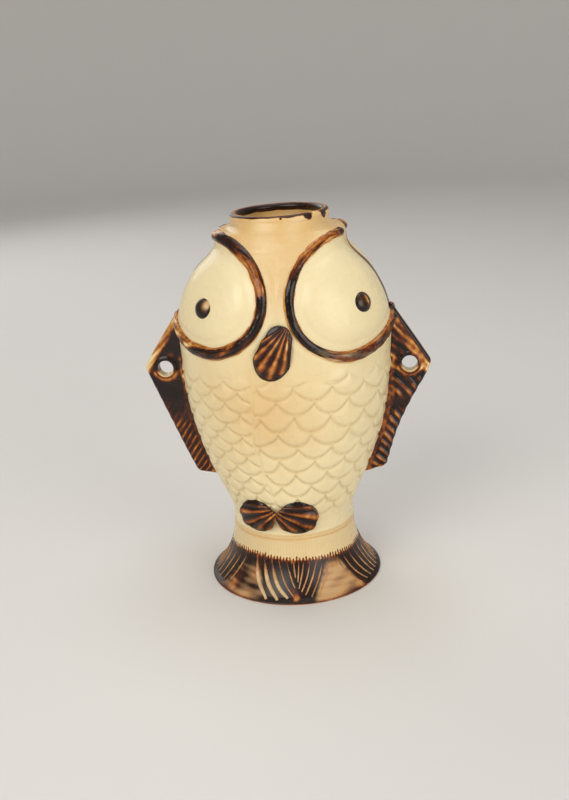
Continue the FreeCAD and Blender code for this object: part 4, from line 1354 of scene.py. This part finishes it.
def rib_piece(node, mesh, points, ways, phase, fade, treacle, height, sharpness, worn=0.0):
    """Raise ribs on a kneaded copy of a node and tie it to the frame."""
    piece = dress(f"{node}_glazed", mesh, {
        "outward": ways, "phase": phase, "fade": fade, "treacle": np.clip(treacle, 0, 1),
        "worn": np.clip(np.broadcast_to(worn, len(points)), 0, 1), "tan": np.full(len(points), 0.2),
    })
    run_tree(piece, tree_named("ribs"), {
        "Rib height": height, "Rib sharpness": sharpness, "Material": glaze_named("treacle"),
    })
    settle(piece, "treacle_glaze", node)


class MakeDorsalFins(VaseOperator, bpy.types.Operator):
    """Cut the two dorsal fins with their cord holes and slanting rays"""

    bl_idname = "fish_vase.make_dorsal_fins"
    bl_label = "Dorsal fins"

    def execute(self, context):
        for fish, side in FISHES:
            self.make_fin(context.scene.fish_vase_sizes, f"{fish}_dorsal_fin", side)
        return {"FINISHED"}

    def make_fin(self, sizes, node, side):
        mesh, points, ways = clay_copy(node, sizes.grain / MM)
        front = as_front(points)
        out, up = np.abs(points[:, 0]), points[:, 2]
        # The front of the right fish and the back of the left are the same face of the vase
        amber_face = np.where(points[:, 0] * points[:, 1] > 0, 1.0, 0.0)
        broad = 1 - amber_face
        tip = np.array([FIN_REACH, FIN_TIP_HEIGHT])
        from_edge = self.inset(out, up, tip, np.array([FIN_BOTTOM_REACH, FIN_BOTTOM_HEIGHT]))
        from_top = self.inset(out, up, np.array([BELLY_HALF_WIDTH, FIN_TOP_HEIGHT]), tip)
        from_body = out - skin_reach(90.0, np.minimum(up, SHOULDER_HEIGHT))
        across = np.clip(from_body / np.maximum(from_body + from_edge, 1), 0, 1)
        over_hole = up - EYELET[1]
        from_hole = np.hypot(out - EYELET[0], over_hole) - EYELET_RADIUS

        # Face by face the rays are drawn apart and slanted: fine and steep, or broad
        spacing = sizes.fin_ray_spacing / MM * (0.92 + 0.4 * broad)
        slant = 1.5 - 0.6 * broad
        phase = (slant * out + up) / np.hypot(slant, 1) / spacing + 0.05 * waver(front, 22, 75)
        flat = smooth(0.75, 0.95, np.abs(ways[:, 1]))
        strip = smooth(0.34, 0.22, across) * smooth(150, 140, up)
        fade = flat * smooth(0.8, 2.2, from_edge) * smooth(-7, -12, over_hole)
        fade *= (1 - strip) * smooth(1.5, 4.0, from_body)
        fade *= 1 - amber_face * (0.6 * smooth(116, 128, up) + 0.4 * smooth(136, 150, up))
        fade *= (1 - 0.25 * amber_face) * (1 + 0.2 * waver(front, 9, 77))
        fade *= 1 - broad * hump(up, 134, 5)
        beside_hole = smooth(1.7, 3.2, from_hole) * smooth(5, 9, from_top) * smooth(-8, -2, over_hole)
        fade = np.maximum(fade, broad * flat * 0.7 * beside_hole)

        along_top = np.stack([(out + up) / 2, (out - up) / 12, front[:, 1] / 6], axis=-1)
        streaks = waver(along_top, 4, 76)
        treacle = 0.78 + 0.05 * broad + 0.06 * waver(front, 20, 71) + 0.04 * waver(front, 5, 72)
        treacle += amber_face * (0.2 * smooth(-40, -20, over_hole) - 0.07)
        treacle -= 0.4 * amber_face * hump(out, EYELET[0] - 5, 3.5) * hump(over_hole, 10, 2.5)
        treacle -= strip * (0.36 + 0.08 * streaks) * (1 - 0.5 * amber_face)
        # Glaze runs thin in slanting streaks along the top, all but the rim on the broad face
        top_band = smooth(10.5 - 3.5 * amber_face, 6.0 - 2.5 * amber_face, from_top)
        top_band *= 1 - broad * smooth(2.6, 1.4, from_top)
        treacle -= top_band * (0.56 + 0.18 * amber_face + 0.16 * streaks)
        inner_band = smooth(5.0, 2.5, from_body) * band(over_hole, -26, -12, 5, 14)
        inner_band *= 0.4 + 0.12 * amber_face + 0.14 * waver(front, 5, 78)
        treacle -= inner_band * (1 - 0.8 * top_band)
        edge_line = 1 - smooth(0.2, 1.0, np.abs(from_edge - 0.6))
        treacle -= 0.3 * edge_line * (0.6 + 0.4 * waver(front, 9, 79))
        # Under the hole it gathers in a dark pit on the broad face, beyond a light crescent
        under = smooth(1, -4, over_hole)
        crescent = hump(from_hole, 3.0, 1.5 + 0.5 * amber_face) * under
        treacle -= crescent * (0.5 + 0.12 * amber_face)
        treacle += 0.3 * hump(from_hole, 7.0, 2.2) * smooth(-5, -9, over_hole) * broad
        # Round and inside the hole the glaze is painted light at the bottom and dark at the top: painted light
        # and painted shade
        lip = (1 - smooth(0.8, 1.5, from_hole)) * (0.25 + 0.75 * under)
        treacle = blend(treacle, 0.24 + 0.1 * waver(front, 5, 74), lip)
        treacle = blend(treacle, 0.85 - 0.75 * under, 1 - smooth(0.3, 0.9, from_hole))
        treacle -= 0.3 * hump(up, FIN_BOTTOM_HEIGHT + 1, 4) * smooth(0.5, 0.2, across) * amber_face
        self.model_edge(mesh, points, side, across, over_hole, from_hole)
        rib_piece(node, mesh, points, ways, phase, fade, treacle, sizes.fin_ray_height, 2.6)

    @staticmethod
    def model_edge(mesh, points, side, across, over_hole, from_hole):
        """Draw the outer edge in by hand, most on the right fish, and notch it between the rays."""
        up = points[:, 2]
        hollow_depth, notch_depth, corner_lift = (4.6, 0.2, 6.0) if side > 0 else (0.0, 0.1, 3.0)
        share = np.clip((up - FIN_BOTTOM_HEIGHT) / (FIN_TIP_HEIGHT - 10 - FIN_BOTTOM_HEIGHT), 0, 1)
        notches = notch_depth * np.sin(2 * math.pi * up / 8.5) * smooth(-4, -14, over_hole)
        drawn_in = hollow_depth * np.sin(math.pi * share) + notches + 0.45
        moved = points.copy()
        moved[:, 0] -= side * across ** 1.5 * smooth(3, 9, from_hole) * drawn_in
        moved[:, 2] += corner_lift * np.exp(-(up - FIN_BOTTOM_HEIGHT) / 10) * np.clip(across, 0, 1)
        move_points(mesh, moved)

    @staticmethod
    def inset(out, up, start, end):
        """Return how far inside the fin's side from start to end each point lies."""
        way = (end - start) / np.linalg.norm(end - start)
        inward = np.array([way[1], -way[0]])
        return (out - start[0]) * inward[0] + (up - start[1]) * inward[1]


class MakeGillRidges(VaseOperator, bpy.types.Operator):
    """Roll the coils round the cheeks, brushed with treacle glaze that breaks amber at their edges"""

    bl_idname = "fish_vase.make_gill_ridges"
    bl_label = "Gill ridges"

    def execute(self, context):
        sizes = context.scene.fish_vase_sizes
        lines = gill_lines()
        for node, side in on_both_faces("gill_ridge"):
            self.make_ridge(sizes, node, side, lines[side])
        return {"FINISHED"}

    def make_ridge(self, sizes, node, side, line):
        turned = np.array([1, 1, 1]) if "front" in node else TO_BACK
        mesh, points, ways = clay_copy(node, sizes.grain / MM, (line[0] * turned, RIDGE_RADIUS + 0.4))
        front = as_front(points) if "back" in node else points
        gap, along, place = near_line(front, line)
        azimuth, height = azimuth_of(front), front[:, 2]
        lift = np.linalg.norm(front[:, :2], axis=1) - side_reach(azimuth, height)
        aside = np.sqrt(np.maximum(gap ** 2 - lift ** 2, 0))
        aside = np.where(inside_cheek(azimuth, height, side), aside, -aside)
        length = np.linalg.norm(np.diff(line, axis=0), axis=1).sum()
        run = np.stack([along * length / 5, aside, lift], axis=-1)
        streaks, wander = waver(run, 3.2, 84 + side), waver(front, 16, 81 + side)
        fine = waver(front, 5, 83 + side)
        lined = 0.9 * (side > 0) * (aside < 0) * band(along, 0.26, 0.34, 0.6, 0.72)
        rim = smooth(2.9, 3.7, np.abs(aside) + lined + 0.3 * fine + 0.15 * streaks)
        # worn here carries the ridges' painted highlight and painted reflections into the pale colour
        if side > 0:
            core, edge, worn = self.right_glaze(along, aside, streaks, fine)
        else:
            core, edge, worn = self.left_glaze(along, aside, streaks, fine, wander, height - line[0][2])
        treacle = blend(core, edge, rim)
        hem = smooth(3.1, 3.7, -aside) * band(along, 0.44, 0.52, 0.94, 0.98)
        treacle = blend(treacle, 0.04 if side > 0 else 0.4, hem)
        # The coils lie flatter than they were rolled, thinner towards the snout, and their sides waver
        flat = np.where(lift > 0, -0.24 * lift, np.maximum(-0.5 - lift, 0))
        outward = front * np.array([1, 1, 0]) / np.linalg.norm(front[:, :2], axis=1)[:, None] * turned
        wobble = (0.16 * wander + 0.05 * fine + 0.05 * streaks) * smooth(0.3, 1.5, lift)
        slim = (place - front) * (1 - ridge_width(along, side))[:, None] * turned
        kneaded = points + slim + outward * flat[:, None] + ways * wobble[:, None]
        kneaded = press_forehead(kneaded, sizes.forehead_hollow / MM)
        move_points(mesh, kneaded)
        phase = 0.5 + (aside + 0.8) / 8.0
        fade = 0.25 * (side < 0) * hump(along, 0.3, 0.2) * (1 - rim)
        rib_piece(node, mesh, points, ways, phase, fade, treacle, 0.5 * MM, 1.5, worn)

    @staticmethod
    def right_glaze(along, aside, streaks, fine):
        """Return the glaze on the middle and the edges of the right ridge, and its pale patches of painted
        reflection.
        """
        core = 0.93 + 0.1 * streaks - 0.3 * smooth(0.54, 0.64, along) + 0.16 * smooth(0.84, 0.92, along)
        core -= (0.53 - 0.05 * streaks) * smooth(0.3, 0.2, along + 0.02 * aside)
        core += 0.5 * smooth(0.03, 0.0, along)
        # Two pale patches low on the ridge, at 0.6 and 0.74 along it, are painted reflections
        reflection_patch = hump(along, 0.6, 0.045)
        core -= 0.14 * reflection_patch
        worn = reflection_patch * np.clip(0.3 + 0.6 * streaks, 0, 1)
        worn += 0.3 * hump(along, 0.74, 0.06) * smooth(0.0, 1.0, streaks)
        edge = np.where(aside > 0, 0.62 - 0.3 * smooth(0.54, 0.64, along), 0.24) + 0.05 * fine
        return core, np.where(along < 0.22, 0.28 + 0.06 * fine, edge), worn

    @staticmethod
    def left_glaze(along, aside, streaks, fine, wander, over_top):
        """Return the glaze on the middle and the edges of the left ridge, and the painted highlight on its nub.
        """
        core = 0.76 + 0.15 * streaks + 0.05 * wander - 0.2 * smooth(0.66, 0.74, along)
        # An amber strip runs down inside the curve, and darkens where the ridge turns under the cheek
        strip = band(along, 0.13, 0.18, 0.337, 0.347) * smooth(-0.7, 0.6, aside + 0.3 * streaks)
        core -= (0.42 + 0.08 * streaks) * strip
        inward = smooth(-0.6, 0.8, aside)
        core -= 0.14 * hump(along, 0.318, 0.018) * (1 - inward)
        core += 0.2 * band(along, 0.342, 0.355, 0.43, 0.5) * (1 - 0.8 * inward)
        core -= 0.26 * smooth(0.4, 1.6, aside) * smooth(0.66, 0.72, along)
        core += 0.3 * smooth(-1.2, -2.2, aside) * smooth(0.68, 0.74, along)
        core -= 0.36 * hump(along, 0.745, 0.022) * hump(aside, 0.6, 1.4)
        core -= 0.36 * hump(along, 0.83, 0.03) * hump(aside, -0.2, 1.0)
        # The top of the nub is painted pale: a painted highlight
        highlit_crown = smooth(0.06, 0.03, along) * smooth(-1.0, 1.4, over_top + 0.4 * fine)
        core -= 0.52 * highlit_crown
        edge = np.where(aside > 0, 0.34, 0.4 + 0.25 * smooth(0.42, 0.3, along)) + 0.07 * fine
        return core, edge, 0.15 * highlit_crown


class MakeEyes(VaseOperator, bpy.types.Operator):
    """Press the button eyes, dark with a painted highlight above the middle and painted shade at the lower rim
    """

    bl_idname = "fish_vase.make_eyes"
    bl_label = "Eyes"

    def execute(self, context):
        for node, side in on_both_faces("eye"):
            self.make_eye(node, side)
        return {"FINISHED"}

    def make_eye(self, node, side):
        mesh, points, ways = clay_copy(node, EYE_GRAIN)
        front = as_front(points)
        middle = front.mean(axis=0)
        turn = np.radians(azimuth_of(front) - azimuth_of(middle[None])[0])
        across, up = turn * np.linalg.norm(middle[:2]), front[:, 2] - middle[2]
        # light is a painted highlight, and pale whitens it further
        if side > 0:
            light = hump(across + 0.2 * up, 2.0, 1.7) * hump(up, 1.6, 4.4)
            dull = smooth(0.5, -3.5, across) * smooth(-5, 0, up)
            pale = 0.2 * light + 0.05 * dull
        else:
            light = hump(across, 4.8, 2.4) * hump(up, 3.4, 2.8)
            dull = smooth(1.5, -3.0, across)
            pale = 1.3 * light
        treacle = 0.94 - 0.72 * light - 0.2 * dull + 0.06 * waver(front, 4, 91)
        # Outside a circle set above the middle the rim is painted dark: painted shade at the bottom
        shade = smooth(5.6, 7.2, np.hypot(across - 0.6, up - 2.0))
        treacle, still = blend(treacle, 0.96, shade), np.zeros(len(points))
        rib_piece(node, mesh, points, ways, still, still, treacle, 0.1 * MM, 1.0, pale * (1 - shade))


def lay_fan(sizes, node, middle, apex, spread, fade_gap, seed, ribbed, glow, offset=0.0):
    """Raise ribs that fan from an apex over a small fin. The middle is its azimuth and height on the front,
    the apex lies in millimetres from there, and spread is the angle from rib to rib.
    """
    mesh, points, ways = clay_copy(node, SMALL_FIN_GRAIN)
    front = as_front(points) if "back" in node else points
    azimuth, height = azimuth_of(front), front[:, 2]
    across = np.radians(azimuth - middle[0]) * skin_reach(*middle) - apex[0]
    up = height - middle[1] - apex[1]
    angle = np.degrees(np.arctan2(across, up))
    angle = np.where(angle < 0, angle + 360, angle)
    lift = np.linalg.norm(front[:, :2], axis=1) - skin_reach(azimuth, height)
    low, high = ribbed
    fade = smooth(fade_gap, fade_gap + 1.6, lift)
    fade *= smooth(low - 6, low + 6, angle) * smooth(high + 6, high - 6, angle)
    treacle = 0.88 + 0.1 * waver(front, 9, seed) + 0.03 * waver(front, 3.5, seed + 1)
    treacle -= glow * smooth(6, 18, np.hypot(across, up)) * fade
    treacle += 0.1 * (1 - smooth(0.2, 1.4, lift))
    phase = angle / spread + offset
    rib_piece(node, mesh, points, ways, phase, fade, treacle, sizes.small_rib_height, 1.6)


class MakePectoralFins(VaseOperator, bpy.types.Operator):
    """Lay the ribbed fins that cover the seam under the gills"""

    bl_idname = "fish_vase.make_pectoral_fins"
    bl_label = "Pectoral fins"

    def execute(self, context):
        for face in ("front", "back"):
            lay_fan(
                context.scene.fish_vase_sizes, f"{face}_pectoral_fin", (-1.0, 0.6875 * VASE_HEIGHT),
                (10.5, 20.0), 11.5, 1.2, 101, (184.0, 238.0), 0.08,
            )
        return {"FINISHED"}


class MakePelvicFins(VaseOperator, bpy.types.Operator):
    """Lay the bow-like pairs of ribbed fins above the tails"""

    bl_idname = "fish_vase.make_pelvic_fins"
    bl_label = "Pelvic fins"

    def execute(self, context):
        for node, side in on_both_faces("pelvic_fin"):
            lay_fan(
                context.scene.fish_vase_sizes, node, (-10.0, 0.2207 * VASE_HEIGHT),
                (-4.0 * side, 9.0), 17.0, 1.9, 111 + side, (0.0, 360.0), -0.03, 0.35,
            )
        return {"FINISHED"}


class FinishBaseDisc(VaseOperator, bpy.types.Operator):
    """Leave the disc that closes the foot as bare fired stoneware"""

    bl_idname = "fish_vase.finish_base_disc"
    bl_label = "Base disc"

    def execute(self, context):
        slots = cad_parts["base_disc"].data.materials
        slots.clear()
        slots.append(glaze_named("bare"))
        return {"FINISHED"}


class VasePanel(bpy.types.Panel):
    """Lists the steps that make the vase"""

    bl_idname = "VIEW3D_PT_fish_vase"
    bl_label = "Double fish vase"
    bl_space_type = "VIEW_3D"
    bl_region_type = "UI"
    bl_category = "Fish Vase"

    def draw(self, context):
        for group in (context.scene.fish_vase_sizes, context.scene.fish_vase_colours):
            for label in group.__annotations__:
                self.layout.prop(group, label)
        for step in STEPS:
            self.layout.operator(step.bl_idname)


STEPS = (
    MakeStage, MakeFishBodies, MakeNeckCollar, MakeTailFeet, MakeDorsalFins, MakeGillRidges, MakeEyes,
    MakePectoralFins, MakePelvicFins, FinishBaseDisc,
)
CLASSES = (VaseSizes, VaseColours, *STEPS, VasePanel)


def register():
    """Register the classes and hang the settings on the scene."""
    for kind in CLASSES:
        bpy.utils.register_class(kind)
    bpy.types.Scene.fish_vase_sizes = PointerProperty(type=VaseSizes)
    bpy.types.Scene.fish_vase_colours = PointerProperty(type=VaseColours)


def unregister():
    """Take the settings and classes away again."""
    del bpy.types.Scene.fish_vase_sizes
    del bpy.types.Scene.fish_vase_colours
    for kind in reversed(CLASSES):
        bpy.utils.unregister_class(kind)


def main():
    """Make the whole vase and its stage."""
    register()
    for step in STEPS:
        group, name = step.bl_idname.split(".")
        getattr(getattr(bpy.ops, group), name)()


if __name__ == "__main__":
    main()
